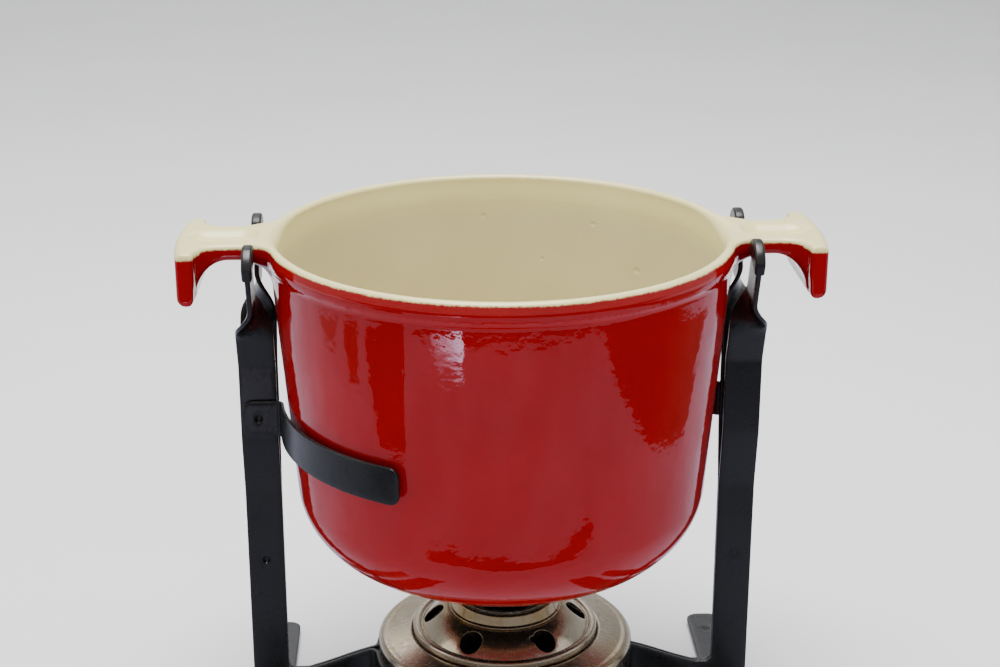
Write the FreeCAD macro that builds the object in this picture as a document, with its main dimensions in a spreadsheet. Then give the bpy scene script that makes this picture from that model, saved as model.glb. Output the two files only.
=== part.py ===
import FreeCAD, Part
import math
import os
import Sketcher
from FreeCAD import Placement, Rotation, Vector

# Fondue pot set: a deep enamelled cast pot with two hooked handles, hung in the forks of a stand made of
# two pressed strip frames riveted back to back, with a round burner in the hoop at the stand's foot.
# Frame: +Z up, +X along the handles, front towards -Y, origin on the table below the pot's axis.

DIMENSIONS = [
    ("rim_radius", 94.0, "outside of the pot's lip"),
    ("rim_top", 216.0, "height of the lip above the table"),
    ("lip_height", 10.8, "depth of the lip's outer band"),
    ("lip_step", 1.8, "how far the wall sets in under the lip"),
    ("mouth_radius", 89.4, "inside of the lip"),
    ("ledge_width", 1.2, "small ledge inside, under the lip"),
    ("pot_wall", 4.2, "thickness of the cast wall"),
    ("pot_base", 79.0, "height of the pot's underside"),
    ("base_corner", 81.7, "radius where wall and underside would meet"),
    ("base_round", 36.0, "rounding between wall and underside"),
    ("pot_floor", 84.0, "height of the floor inside"),
    ("foot_ring_radius", 50.0, "outside of the pot's foot ring"),
    ("foot_ring_width", 4.0, "width of the foot ring"),
    ("foot_ring_bottom", 76.8, "height of the foot ring's lower face"),
    ("handle_reach", 129.0, "end of each handle from the axis"),
    ("handle_top", 215.6, "top face of the handles"),
    ("handle_under", 209.0, "underside of the handles' necks"),
    ("handle_tip", 194.0, "lowest point of the hooked ends"),
    ("hook_thickness", 6.8, "thickness of the hooked ends"),
    ("neck_half_width", 14.7, "half width of the handles' necks"),
    ("handle_half_width", 27.0, "half width of the handles' ends"),
    ("dish_radius", 9.0, "radius of the dish in each neck"),
    ("dish_depth", 2.4, "depth of the dish in each neck"),
    ("strip_width", 15.0, "width of the stand's strip"),
    ("strip_gauge", 2.0, "thickness of the stand's strip"),
    ("leg_spacing", 99.0, "middle of each leg from the axis"),
    ("pad_height", 1.6, "height of the foot pads under the feet"),
    ("foot_reach", 75.0, "end of each foot from the middle"),
    ("foot_bend", 2.0, "inner radius of the bend at each foot"),
    ("foot_round", 5.0, "rounded corners of the feet"),
    ("pad_reach", 60.0, "middle of each foot pad from the middle"),
    ("spread_start", 105.0, "height where the two frames part"),
    ("spread_end", 130.0, "height where they are fully apart"),
    ("spread_gap", 4.5, "offset of each frame from the middle there"),
    ("lean_start", 162.0, "height of the bend towards the fork"),
    ("twist_start", 174.0, "height where the strip starts to twist"),
    ("twist_end", 191.0, "height where it stands edge on"),
    ("prong_top", 216.6, "top of the bare prongs"),
    ("prong_lean", 21.0, "lean of the prongs in degrees"),
    ("cap_length", 12.0, "length of the prong caps"),
    ("cap_side", 1.0, "cap wall on the strip's faces"),
    ("cap_edge", 0.7, "cap wall on the strip's edges and end"),
    ("bar_bottom", 6.0, "lower edge of the crossbar at the legs"),
    ("bar_top", 21.0, "upper edge of the crossbar at the legs"),
    ("hoop_top", 30.0, "upper edge of the burner hoop"),
    ("hoop_radius", 54.0, "outside of the burner hoop"),
    ("arm_bottom", 132.5, "lower edge of the guard arms"),
    ("arm_gauge", 1.6, "thickness of the guard arms"),
    ("arm_radius", 89.0, "inner radius of the guard arms"),
    ("arm_end_angle", 62.5, "angle that the guard arms reach, in degrees"),
    ("arm_rivet_height", 140.0, "height of the arm rivets"),
    ("leg_rivet_height", 73.6, "height of the leg rivets"),
    ("rivet_radius", 1.9, "radius of all the rivets"),
    ("sheet", 0.8, "thickness of the burner's sheet metal"),
    ("burner_shift", 1.6, "how far the loose burner sits to the right of the middle"),
    ("tray_radius", 54.3, "outside of the burner's flange"),
    ("tray_top", 38.0, "height of the flange's rim"),
    ("seat_radius", 40.4, "radius where the flange meets the cover"),
    ("seat_top", 39.6, "height of the flange at the cover"),
    ("well_radius", 37.6, "outside of the burner's well"),
    ("well_bottom", 12.6, "height of the well's underside"),
    ("cover_radius", 39.4, "outside of the burner cover"),
    ("cover_ring_top", 42.8, "height of the cover's raised ring"),
    ("cover_top", 49.6, "height of the cover at the collar"),
    ("cover_mouth", 20.0, "radius of the opening in the cover"),
    ("vent_circle", 30.5, "radius of the circle of vents"),
    ("vent_radius", 4.8, "radius of each vent"),
    ("vent_notch", 1.2, "radius of the notch beside one vent"),
    ("collar_foot", 23.8, "outside of the collar's foot"),
    ("collar_top", 55.2, "height of the collar"),
    ("collar_mouth", 18.2, "radius of the collar's mouth"),
    ("cup_radius", 35.0, "outside of the fuel cup"),
    ("cup_shoulder", 37.6, "height of the fuel cup's shoulder"),
    ("neck_radius", 16.2, "outside of the fuel cup's neck"),
    ("neck_top", 54.4, "height of the fuel cup's neck"),
    ("mesh_height", 45.0, "height of the wick mesh"),
    ("mesh_gauge", 1.0, "thickness of the wick mesh"),
]

VENT_COUNT = 6
NOTCHED_VENT_ANGLE = -60.0
COLLAR_SEAM_ANGLE = -22.0
SIDES = {"left": -1, "right": 1}
FACES = {"front": -1, "back": 1}

doc = FreeCAD.newDocument("fondue_pot_set")
sheet = doc.addObject("Spreadsheet::Sheet", "Dimensions")


def fill_sheet():
    """Write every driving dimension as a plain number with an alias."""
    for row, (alias, value, meaning) in enumerate(DIMENSIONS, start=1):
        sheet.set(f"A{row}", meaning)
        sheet.set(f"B{row}", str(value))
        sheet.setAlias(f"B{row}", alias)
    doc.recompute()


def size(alias):
    """The value of one driving dimension."""
    return float(getattr(sheet, alias))


def cell(alias):
    """The expression that reads one driving dimension."""
    return f"Dimensions.{alias}"


# ---------------------------------------------------------------- helpers

def new_body(name):
    body = doc.addObject("PartDesign::Body", name)
    body.Label = name
    return body


def new_sketch(body, name, plane):
    """A sketch on one of the body's own origin planes."""
    sketch = body.newObject("Sketcher::SketchObject", name)
    support = next(item for item in body.Origin.OriginFeatures if item.Role == plane)
    sketch.AttachmentSupport = (support, [""])
    sketch.MapMode = "FlatFace"
    return sketch


def at(alias, offset=0.0):
    """A coordinate bound to a driving dimension, with an offset."""
    return (size(alias) + offset, f"{cell(alias)} + {offset}")


def coordinate(value):
    return value if isinstance(value, tuple) else (value, None)


def bind(sketch, index, expression):
    if expression:
        sketch.setExpression(f"Constraints[{index}]", expression)


def draw_polygon(sketch, corners):
    """A closed outline of straight lines whose corners are held by bound distances from the origin."""
    points = [(coordinate(x), coordinate(y)) for x, y in corners]
    count = len(points)
    for index in range(count):
        start, end = points[index], points[(index + 1) % count]
        first = Vector(start[0][0], start[1][0], 0)
        second = Vector(end[0][0], end[1][0], 0)
        sketch.addGeometry(Part.LineSegment(first, second), False)
    for index in range(count):
        sketch.addConstraint(Sketcher.Constraint("Coincident", index, 2, (index + 1) % count, 1))
    for index, (x, y) in enumerate(points):
        for kind, (value, expression) in (("DistanceX", x), ("DistanceY", y)):
            number = sketch.addConstraint(Sketcher.Constraint(kind, -1, 1, index, 1, value))
            bind(sketch, number, expression)


def draw_outline(sketch, start, steps):
    """A closed outline: each step is the next corner, or a middle point and an end point for an arc."""
    here = start
    for step in steps:
        if len(step) == 2 and not isinstance(step[0], tuple):
            sketch.addGeometry(Part.LineSegment(Vector(*here, 0), Vector(*step, 0)), False)
            here = step
        else:
            middle, end = step
            sketch.addGeometry(Part.Arc(Vector(*here, 0), Vector(*middle, 0), Vector(*end, 0)), False)
            here = end


def draw_circle(sketch, x, y, alias):
    """A circle whose radius is bound to a driving dimension."""
    index = sketch.addGeometry(Part.Circle(Vector(x, y, 0), Vector(0, 0, 1), size(alias)), False)
    bind(sketch, sketch.addConstraint(Sketcher.Constraint("Radius", index, size(alias))), cell(alias))
    for kind, value in (("DistanceX", x), ("DistanceY", y)):
        if abs(value) > 1e-9:
            sketch.addConstraint(Sketcher.Constraint(kind, -1, 1, index, 3, value))


def revolve(body, name, corners):
    """A ring or vessel: a polygon of radius and height turned about the vertical axis."""
    sketch = new_sketch(body, name + "_outline", "XZ_Plane")
    draw_polygon(sketch, corners)
    feature = body.newObject("PartDesign::Revolution", name)
    feature.Profile = sketch
    feature.ReferenceAxis = (sketch, ["V_Axis"])
    feature.Angle = 360.0
    doc.recompute()
    return feature


def pad(body, name, sketch, expression, symmetric=False):
    feature = body.newObject("PartDesign::Pad", name)
    feature.Profile = sketch
    feature.setExpression("Length", expression)
    feature.Midplane = symmetric
    doc.recompute()
    return feature


def pocket_through(body, name, sketch):
    """Cut a sketch through the whole body, both ways."""
    before = body.Shape.Volume
    feature = body.newObject("PartDesign::Pocket", name)
    feature.Profile = sketch
    feature.Type = "ThroughAll"
    feature.Midplane = True
    doc.recompute()
    if body.Shape.Volume >= before - 1e-6:
        raise RuntimeError(f"{name} cuts nothing")
    return feature


def fillet(body, name, edges, radius, expression=None):
    """Round some edges of the body's last feature."""
    previous = body.Tip
    feature = body.newObject("PartDesign::Fillet", name)
    feature.Base = (previous, edges)
    feature.Radius = radius
    if expression:
        feature.setExpression("Radius", expression)
    doc.recompute()
    if feature.Shape.isNull():
        raise RuntimeError(f"{name}: rounding failed")


def ring_edges(shape, radius, height):
    """Names of the circular edges of one radius at one height."""
    names = []
    for number, edge in enumerate(shape.Edges, start=1):
        curve = edge.Curve
        if not isinstance(curve, Part.Circle):
            continue
        if abs(curve.Radius - radius) < 0.01 and abs(curve.Center.z - height) < 0.01:
            names.append(f"Edge{number}")
    return names


def fillet_rings(body, name, rings):
    """Round circular edges: each ring is a radius, a height and a rounding."""
    for number, (radius, height, rounding) in enumerate(rings):
        names = ring_edges(body.Tip.Shape, radius, height)
        if not names:
            raise RuntimeError(f"{name}: no edge at radius {radius}, height {height}")
        fillet(body, f"{name}_{number}", names, rounding)


def boolean(kind, name, items):
    """A named Part boolean of several objects."""
    result = doc.addObject(f"Part::Multi{kind}", name)
    result.Shapes = items
    result.Label = name
    doc.recompute()
    return result


def cut(name, base, tool):
    result = doc.addObject("Part::Cut", name)
    result.Base = base
    result.Tool = tool
    result.Label = name
    doc.recompute()
    return result


def placed_copy(name, source, placement):
    """The same piece again at another place."""
    copy = doc.addObject("Part::Feature", name)
    copy.Shape = source.Shape
    copy.Placement = placement.multiply(source.Placement)
    copy.Label = name
    return copy


def half_turn():
    return Placement(Vector(), Rotation(Vector(0, 0, 1), 180))


# ---------------------------------------------------------------- pot

def pot_vessel():
    """The turned vessel: lip, gently tapered wall, rounded base and foot ring."""
    body = new_body("pot_vessel")
    lip_bottom = at("rim_top", -size("lip_height"))
    ring_inner = size("foot_ring_radius") - size("foot_ring_width")
    inner_low = size("base_corner") - size("pot_wall")
    revolve(body, "vessel", [
        (0.0, at("pot_base")),
        (ring_inner, at("pot_base")),
        (ring_inner, at("foot_ring_bottom")),
        (at("foot_ring_radius"), at("foot_ring_bottom")),
        (at("foot_ring_radius"), at("pot_base")),
        (at("base_corner"), at("pot_base")),
        (at("rim_radius", -size("lip_step")), lip_bottom),
        (at("rim_radius"), lip_bottom),
        (at("rim_radius"), at("rim_top")),
        (at("mouth_radius"), at("rim_top")),
        (at("mouth_radius"), lip_bottom),
        (at("mouth_radius", -size("ledge_width")), lip_bottom),
        (inner_low, at("pot_floor")),
        (0.0, at("pot_floor")),
    ])
    fillet_rings(body, "rounding", [
        (size("base_corner"), size("pot_base"), size("base_round") - 5.0),
        (inner_low, size("pot_floor"), size("base_round") - size("pot_wall") - 3.0),
        (size("rim_radius"), size("rim_top"), 1.8),
        (size("mouth_radius"), size("rim_top"), 1.8),
        (size("rim_radius"), size("rim_top") - size("lip_height"), 1.5),
        (size("foot_ring_radius"), size("foot_ring_bottom"), 0.8),
    ])
    return body


def handle_profile():
    """The handle's side view: a flat neck that curls down into a hook."""
    body = new_body("handle_profile")
    sketch = new_sketch(body, "hook_outline", "XZ_Plane")
    reach, top = size("handle_reach"), size("handle_top")
    under, tip, thick = size("handle_under"), size("handle_tip"), size("hook_thickness")
    outer, inner = 9.0, 10.0
    root = size("mouth_radius") + 1.6
    hook = reach - thick
    slant = math.sqrt(0.5)
    tip_round = 3.0
    draw_outline(sketch, (root, under), [
        (hook - inner, under),
        ((hook - inner + inner * slant, under - inner + inner * slant), (hook, under - inner)),
        (hook + 0.8, tip + tip_round),
        ((hook + 0.8 + tip_round * 0.9, tip), (reach - 0.6, tip + tip_round)),
        (reach, top - outer),
        ((reach - outer + outer * slant, top - outer + outer * slant), (reach - outer, top)),
        (root, top),
        (root, under),
    ])
    pad(body, "hook_pad", sketch, f"2 * {cell('handle_half_width')} + 10", symmetric=True)
    return body


def handle_plan():
    """The handle's plan: a neck that flares into a cross piece with rounded ends."""
    body = new_body("handle_plan")
    sketch = new_sketch(body, "plan_outline", "XY_Plane")
    neck, wide, reach = size("neck_half_width"), size("handle_half_width"), size("handle_reach")
    root = size("mouth_radius") + 1.6
    flare, heel, toe, bow = 10.0, 1.5, 3.5, 2.5
    rest = 1 - math.sqrt(0.5)
    back = reach - 7.8
    side = reach - bow

    flank = [
        (back - flare, neck),
        ((back - flare * rest, neck + flare * rest), (back, neck + flare)),
        (back, wide - heel),
        ((back + heel * rest, wide - heel * rest), (back + heel, wide)),
        (side - toe, wide),
        ((side - toe * rest, wide - toe * rest), (side, wide - toe)),
    ]
    other_flank = reverse_steps((root, -neck), mirror_steps(flank))
    end = [((reach, 0.0), (side, toe - wide))]
    draw_outline(sketch, (root, neck), flank + end + other_flank + [(root, neck)])
    pad(body, "plan_pad", sketch, f"{cell('handle_top')} + 20")
    return body


def mirror_steps(steps):
    """The same run of lines and arcs on the other side of the first axis."""
    def flip(point):
        return (point[0], -point[1])

    return [tuple(map(flip, step)) if isinstance(step[0], tuple) else flip(step) for step in steps]


def reverse_steps(start, steps):
    """The same run of lines and arcs drawn from its end back to its start."""
    ends = [start]
    for step in steps:
        ends.append(step[1] if isinstance(step[0], tuple) else step)
    reversed_steps = []
    for index in range(len(steps) - 1, -1, -1):
        step = steps[index]
        if isinstance(step[0], tuple):
            reversed_steps.append((step[0], ends[index]))
        else:
            reversed_steps.append(ends[index])
    return reversed_steps


def neck_dish():
    """The shallow dish pressed into the top of each neck: a lying cylinder with round ends."""
    radius = size("dish_radius")
    height = size("handle_top") + radius - size("dish_depth")
    start, end = size("rim_radius") + 6.0, size("handle_reach") - 11.0
    rod = doc.addObject("Part::Cylinder", "dish_rod")
    rod.setExpression("Radius", cell("dish_radius"))
    rod.Height = end - start
    rod.Placement = Placement(Vector(start, 0, height), Rotation(Vector(0, 1, 0), 90))
    balls = []
    for number, x in enumerate((start, end)):
        ball = doc.addObject("Part::Sphere", f"dish_ball_{number}")
        ball.setExpression("Radius", cell("dish_radius"))
        ball.Placement = Placement(Vector(x, 0, height), Rotation())
        balls.append(ball)
    return boolean("Fuse", "dish_tool", [rod] + balls)


def make_handle():
    """One handle: its side view and plan met, and the dish cut."""
    crossed = boolean("Common", "handle_blank", [handle_profile(), handle_plan()])
    return cut("handle_right", crossed, neck_dish())


def make_pot():
    right = make_handle()
    left = doc.addObject("Part::Mirroring", "handle_left")
    left.Source = right
    left.Normal = Vector(1, 0, 0)
    left.Base = Vector()
    doc.recompute()
    return boolean("Fuse", "pot", [pot_vessel(), right, left])


# ---------------------------------------------------------------- stand

def fork_middle(height):
    """Distance from the middle plane to the middle of a leaning strip at one height."""
    rise = height - size("lean_start")
    return size("spread_gap") + size("strip_gauge") / 2 + rise * math.tan(math.radians(size("prong_lean")))


def leg_body():
    """Foot, bend, leg and the leaning top up to the twist, as one bent strip seen from the side."""
    body = new_body("leg_strip")
    sketch = new_sketch(body, "leg_outline", "YZ_Plane")
    gauge, floor = size("strip_gauge"), size("pad_height")
    inner = size("foot_bend")
    outer = inner + gauge
    slant = math.sqrt(0.5)
    gap, reach = size("spread_gap"), size("foot_reach")
    lean = math.radians(size("prong_lean"))
    end = fork_middle(size("twist_start"))
    half = (gauge / 2 * math.cos(lean), gauge / 2 * math.sin(lean))
    middle = floor + outer
    draw_outline(sketch, (-reach, floor), [
        (-outer, floor),
        ((-outer + outer * slant, middle - outer * slant), (0.0, middle)),
        (0.0, size("spread_start")),
        (-gap, size("spread_end")),
        (-gap, size("lean_start")),
        (-end + half[0], size("twist_start") + half[1]),
        (-end - half[0], size("twist_start") - half[1]),
        (-gap - gauge, size("lean_start")),
        (-gap - gauge, size("spread_end")),
        (-gauge, size("spread_start")),
        (-gauge, middle),
        ((-outer + inner * slant, middle - inner * slant), (-outer, floor + gauge)),
        (-reach, floor + gauge),
        (-reach, floor),
    ])
    pad(body, "leg_pad", sketch, cell("strip_width"), symmetric=True)
    round_foot(body)
    return body


def round_foot(body):
    """Round the two corners at the foot's end."""
    edges = []
    for number, edge in enumerate(body.Tip.Shape.Edges, start=1):
        box = edge.BoundBox
        if abs(box.YMax + size("foot_reach")) < 0.01 and box.ZLength > 1 and box.XLength < 0.01:
            edges.append(f"Edge{number}")
    fillet(body, "foot_corners", edges, size("foot_round"), cell("foot_round"))


def twisted_part(name):
    """The quarter twist between leg and prong: cross sections of the strip turned about its own line."""
    lean = math.radians(size("prong_lean"))
    line = Vector(0, -math.sin(lean), math.cos(lean))
    across = Vector(0, math.cos(lean), math.sin(lean))
    half_width, half_gauge = size("strip_width") / 2, size("strip_gauge") / 2
    low, high = size("twist_start"), size("twist_end")
    steps = 10
    wires = []
    for step in range(steps + 1):
        share = step / steps
        turn = math.pi / 2 * (3 * share ** 2 - 2 * share ** 3)
        height = low + (high - low) * share
        middle = Vector(0, -fork_middle(height), height)
        wide = Vector(-1, 0, 0) * math.cos(turn) + across * math.sin(turn)
        thin = line.cross(wide)
        corners = [middle + wide * (a * half_width) + thin * (b * half_gauge)
                   for a, b in ((1, 1), (-1, 1), (-1, -1), (1, -1), (1, 1))]
        wires.append(Part.makePolygon(corners))
    twist = doc.addObject("Part::Feature", name)
    twist.Shape = Part.makeLoft(wires, True, False)
    return twist


def prong_length():
    """Length of the straight prong along its lean."""
    lean = math.radians(size("prong_lean"))
    return (size("prong_top") - size("twist_end")) / math.cos(lean)


def prong_placement():
    """Where the straight prong starts, leaning forward."""
    middle = Vector(0, -fork_middle(size("twist_end")), size("twist_end"))
    return Placement(middle, Rotation(Vector(1, 0, 0), size("prong_lean")))


def prong_outline(sketch, start, end, half_width):
    """A strip seen on its face, with a rounded end."""
    shoulder = end - half_width * 0.55
    draw_outline(sketch, (-half_width, start), [
        (half_width, start),
        (half_width, shoulder),
        ((0.0, end), (-half_width, shoulder)),
        (-half_width, start),
    ])


def prong_body():
    """The straight, edge-on end of the strip."""
    body = new_body("prong_blank")
    sketch = new_sketch(body, "prong_outline", "YZ_Plane")
    prong_outline(sketch, 0.0, prong_length(), size("strip_width") / 2)
    pad(body, "prong_pad", sketch, cell("strip_gauge"), symmetric=True)
    body.Placement = prong_placement()
    return body


def bar_plan():
    """The crossbar seen from above: straight at the legs and bowed forward into half a hoop."""
    body = new_body("bar_plan")
    sketch = new_sketch(body, "bar_outline", "XY_Plane")
    gauge, outer = size("strip_gauge"), size("hoop_radius")
    inner = outer - gauge
    bend = 3.0
    end = size("leg_spacing")
    slant = math.sqrt(0.5)
    depth = -gauge - bend
    meet = math.sqrt(outer ** 2 - depth ** 2)
    shift = meet + bend
    draw_outline(sketch, (-end, 0.0), [
        (-inner - gauge, 0.0),
        ((-inner - gauge * (1 - slant) * 0.6, -gauge * (1 - slant) * 0.6), (-inner, -gauge)),
        ((0.0, -inner), (inner, -gauge)),
        ((inner + gauge * (1 - slant) * 0.6, -gauge * (1 - slant) * 0.6), (inner + gauge, 0.0)),
        (end, 0.0),
        (end, -gauge),
        (shift, -gauge),
        ((shift - bend * slant, depth + bend * slant), (meet, depth)),
        ((0.0, -outer), (-meet, depth)),
        ((-shift + bend * slant, depth + bend * slant), (-shift, -gauge)),
        (-end, -gauge),
        (-end, 0.0),
    ])
    pad(body, "bar_pad", sketch, f"{cell('hoop_top')} + 5")
    return body


def bar_elevation():
    """The crossbar seen from the front: a strip that climbs from the legs to the hoop."""
    body = new_body("bar_elevation")
    sketch = new_sketch(body, "elevation_outline", "XZ_Plane")
    low, high = size("bar_bottom"), size("bar_top")
    rise = size("hoop_top") - high
    edge = size("leg_spacing") - size("strip_width") / 2
    inner_round = 2.5
    slant = math.sqrt(0.5)
    knee = edge - 5.5
    hip = size("hoop_radius") + 6.0
    end = size("leg_spacing") + 1.0
    corner = inner_round * (1 - slant)
    draw_outline(sketch, (-end, low), [
        (-knee, low),
        (-hip, low + rise),
        (hip, low + rise),
        (knee, low),
        (end, low),
        (end, high + inner_round),
        (edge, high + inner_round),
        ((edge - corner, high + corner), (edge - inner_round, high)),
        (knee, high),
        (hip, high + rise),
        (-hip, high + rise),
        (-knee, high),
        (-edge + inner_round, high),
        ((-edge + corner, high + corner), (-edge, high + inner_round)),
        (-end, high + inner_round),
        (-end, low),
    ])
    pad(body, "elevation_pad", sketch, f"4 * {cell('hoop_radius')}", symmetric=True)
    return body


def rivet_holes():
    """Rods that clear the holes for the arm rivet, the leg rivets and the pad pins in a frame."""
    rods = []
    places = [(side, "leg_rivet_height") for side in SIDES.values()] + [(-1, "arm_rivet_height")]
    for number, (side, height) in enumerate(places):
        rod = doc.addObject("Part::Cylinder", f"rivet_hole_{number}")
        rod.setExpression("Radius", cell("rivet_radius"))
        rod.Height = 20.0
        place = Vector(side * size("leg_spacing"), 10, size(height))
        rod.Placement = Placement(place, Rotation(Vector(1, 0, 0), 90))
        rods.append(rod)
    for number, side in enumerate(SIDES.values()):
        rod = doc.addObject("Part::Cylinder", f"pad_hole_{number}")
        rod.setExpression("Radius", cell("rivet_radius"))
        rod.Height = 10.0
        rod.Placement = Placement(Vector(side * size("leg_spacing"), -size("pad_reach"), 0), Rotation())
        rods.append(rod)
    return boolean("Fuse", "frame_holes", rods)


def make_frames():
    """The front frame as one pressed strip, and the back frame as the same piece turned round."""
    leg, prong, twist = leg_body(), prong_body(), twisted_part("twist")
    upright = boolean("Fuse", "upright_blank", [leg, twist, prong])
    uprights = []
    for name, sign in SIDES.items():
        piece = doc.addObject("Part::Feature", f"upright_{name}")
        shape = upright.Shape.copy()
        piece.Shape = shape if sign > 0 else shape.mirror(Vector(), Vector(1, 0, 0))
        piece.Placement = Placement(Vector(sign * size("leg_spacing"), 0, 0), Rotation())
        uprights.append(piece)
    bar = boolean("Common", "crossbar", [bar_plan(), bar_elevation()])
    blank = boolean("Fuse", "frame_blank", uprights + [bar])
    front = cut("front_frame", blank, rivet_holes())
    back = placed_copy("back_frame", front, half_turn())
    return [front, back]


def make_caps():
    """The four plastic caps on the prongs."""
    body = new_body("cap_blank")
    sketch = new_sketch(body, "cap_outline", "YZ_Plane")
    end = prong_length() + size("cap_edge")
    start = end - size("cap_length")
    prong_outline(sketch, start, end, size("strip_width") / 2 + size("cap_edge"))
    pad(body, "cap_pad", sketch, f"{cell('strip_gauge')} + 2 * {cell('cap_side')}", symmetric=True)
    body.Placement = prong_placement()
    hollow = cut("cap_shell", body, doc.getObject("prong_blank"))
    caps = []
    for face, turn in (("front", Placement()), ("back", half_turn())):
        for side, sign in SIDES.items():
            move = Placement(Vector(sign * size("leg_spacing"), 0, 0), Rotation())
            caps.append(placed_copy(f"{face}_{side}_cap", hollow, move.multiply(turn)))
    return caps


def arm_plan():
    """A guard arm seen from above: a tab on the leg, a bend, and a long curve round the pot."""
    body = new_body("guard_arm")
    sketch = new_sketch(body, "arm_outline", "XY_Plane")
    gauge, inner = size("arm_gauge"), size("arm_radius")
    outer = inner + gauge
    face = -(size("spread_gap") + size("strip_gauge"))
    tab_end = -(size("leg_spacing") + size("strip_width") / 2 - 1.0)
    bend = 2.0
    slant = math.sqrt(0.5)
    depth = face - gauge - bend
    start = math.degrees(math.asin(-depth / inner))
    stop = size("arm_end_angle")

    def around(radius, angle):
        return (-radius * math.cos(math.radians(angle)), -radius * math.sin(math.radians(angle)))

    inside, outside = around(inner, start), around(outer, start)
    centre = (outside[0] - bend, face - gauge - bend)
    wide = bend + gauge
    middle = (start + stop) / 2
    draw_outline(sketch, (tab_end, face), [
        (centre[0], face),
        ((centre[0] + wide * slant, centre[1] + wide * slant), (centre[0] + wide, centre[1])),
        inside,
        (around(inner, middle), around(inner, stop)),
        around(outer, stop),
        (around(outer, middle), outside),
        (centre[0] + bend, centre[1]),
        ((centre[0] + bend * slant, centre[1] + bend * slant), (centre[0], centre[1] + bend)),
        (tab_end, face - gauge),
        (tab_end, face),
    ])
    pad(body, "arm_pad", sketch, cell("strip_width"))
    body.Placement = Placement(Vector(0, 0, size("arm_bottom")), Rotation())
    return body


def arm_corners(body):
    """Round the corners of the tab and of the arm's free end."""
    free_end = -size("arm_radius") * math.cos(math.radians(size("arm_end_angle")))
    tab_end = -(size("leg_spacing") + size("strip_width") / 2 - 1.0)
    for name, place, rounding in (("tab_corners", tab_end, 4.5), ("end_corners", free_end, 4.0)):
        edges = []
        for number, edge in enumerate(body.Tip.Shape.Edges, start=1):
            box = edge.BoundBox
            flat = box.ZLength < 0.01 and edge.Length < size("arm_gauge") + 0.1
            if flat and abs((box.XMin + box.XMax) / 2 - place) < 1.0:
                edges.append(f"Edge{number}")
        fillet(body, name, edges, rounding)


def make_arms():
    """The two guard arms that keep the pot from swinging, on opposite legs."""
    body = arm_plan()
    arm_corners(body)
    hole = doc.addObject("Part::Cylinder", "arm_hole")
    hole.setExpression("Radius", cell("rivet_radius"))
    hole.Height = 20.0
    place = Vector(-size("leg_spacing"), 0, size("arm_rivet_height"))
    hole.Placement = Placement(place, Rotation(Vector(1, 0, 0), 90))
    front = cut("front_arm", body, hole)
    return [front, placed_copy("back_arm", front, half_turn())]


def make_rivet(name, length, place, forward):
    """A flush rivet with a dimple in one end; its axis runs along Y."""
    body = new_body(name)
    sketch = new_sketch(body, name + "_shank", "XZ_Plane")
    draw_circle(sketch, 0, 0, "rivet_radius")
    shank = pad(body, name + "_pad", sketch, str(length), symmetric=True)
    shank.Refine = True
    dimple = doc.addObject("Part::Cone", name + "_dimple")
    dimple.Radius1 = size("rivet_radius") - 0.5
    dimple.Radius2 = size("rivet_radius") - 0.9
    dimple.Height = 0.7
    direction = -1 if forward else 1
    turn = Rotation(Vector(1, 0, 0), 90 if direction > 0 else -90)
    dimple.Placement = Placement(Vector(0, direction * length / 2, 0), turn)
    result = cut(name + "_piece", body, dimple)
    result.Placement = Placement(place, Rotation())
    result.Label = name + "_piece"
    return result


def make_rivets():
    """Two rivets through both frames and one through each arm and its frame."""
    spacing, gauge = size("leg_spacing"), size("strip_gauge")
    pieces = {}
    for side, sign in SIDES.items():
        place = Vector(sign * spacing, 0, size("leg_rivet_height"))
        pieces[f"{side}_leg_rivet"] = make_rivet(f"{side}_leg_rivet", 2 * gauge, place, sign < 0)
    depth = size("spread_gap") + (gauge + size("arm_gauge")) / 2
    for face, sign in FACES.items():
        place = Vector(sign * spacing, sign * depth, size("arm_rivet_height"))
        name = f"{face}_arm_rivet"
        pieces[name] = make_rivet(name, gauge + size("arm_gauge"), place, sign < 0)
    for name, piece in pieces.items():
        blank = doc.getObject(name)
        blank.Label = name + "_blank"
        piece.Label = name
    return list(pieces.values())


def make_pads():
    """A soft pad under each foot, held by a pin through the foot."""
    body = new_body("foot_pad")
    revolve(body, "pad_disc", [
        (0.0, 0.0),
        (4.6, 0.0),
        (5.0, 0.6),
        (5.0, at("pad_height")),
        (at("rivet_radius"), at("pad_height")),
        (at("rivet_radius"), at("pad_height", size("strip_gauge"))),
        (0.0, at("pad_height", size("strip_gauge") - 0.5)),
    ])
    pads = []
    for face, depth in FACES.items():
        for side, sign in SIDES.items():
            place = Vector(sign * size("leg_spacing"), depth * size("pad_reach"), 0)
            pads.append(placed_copy(f"{face}_{side}_foot_pad", body, Placement(place, Rotation())))
    return pads


# ---------------------------------------------------------------- burner

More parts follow.
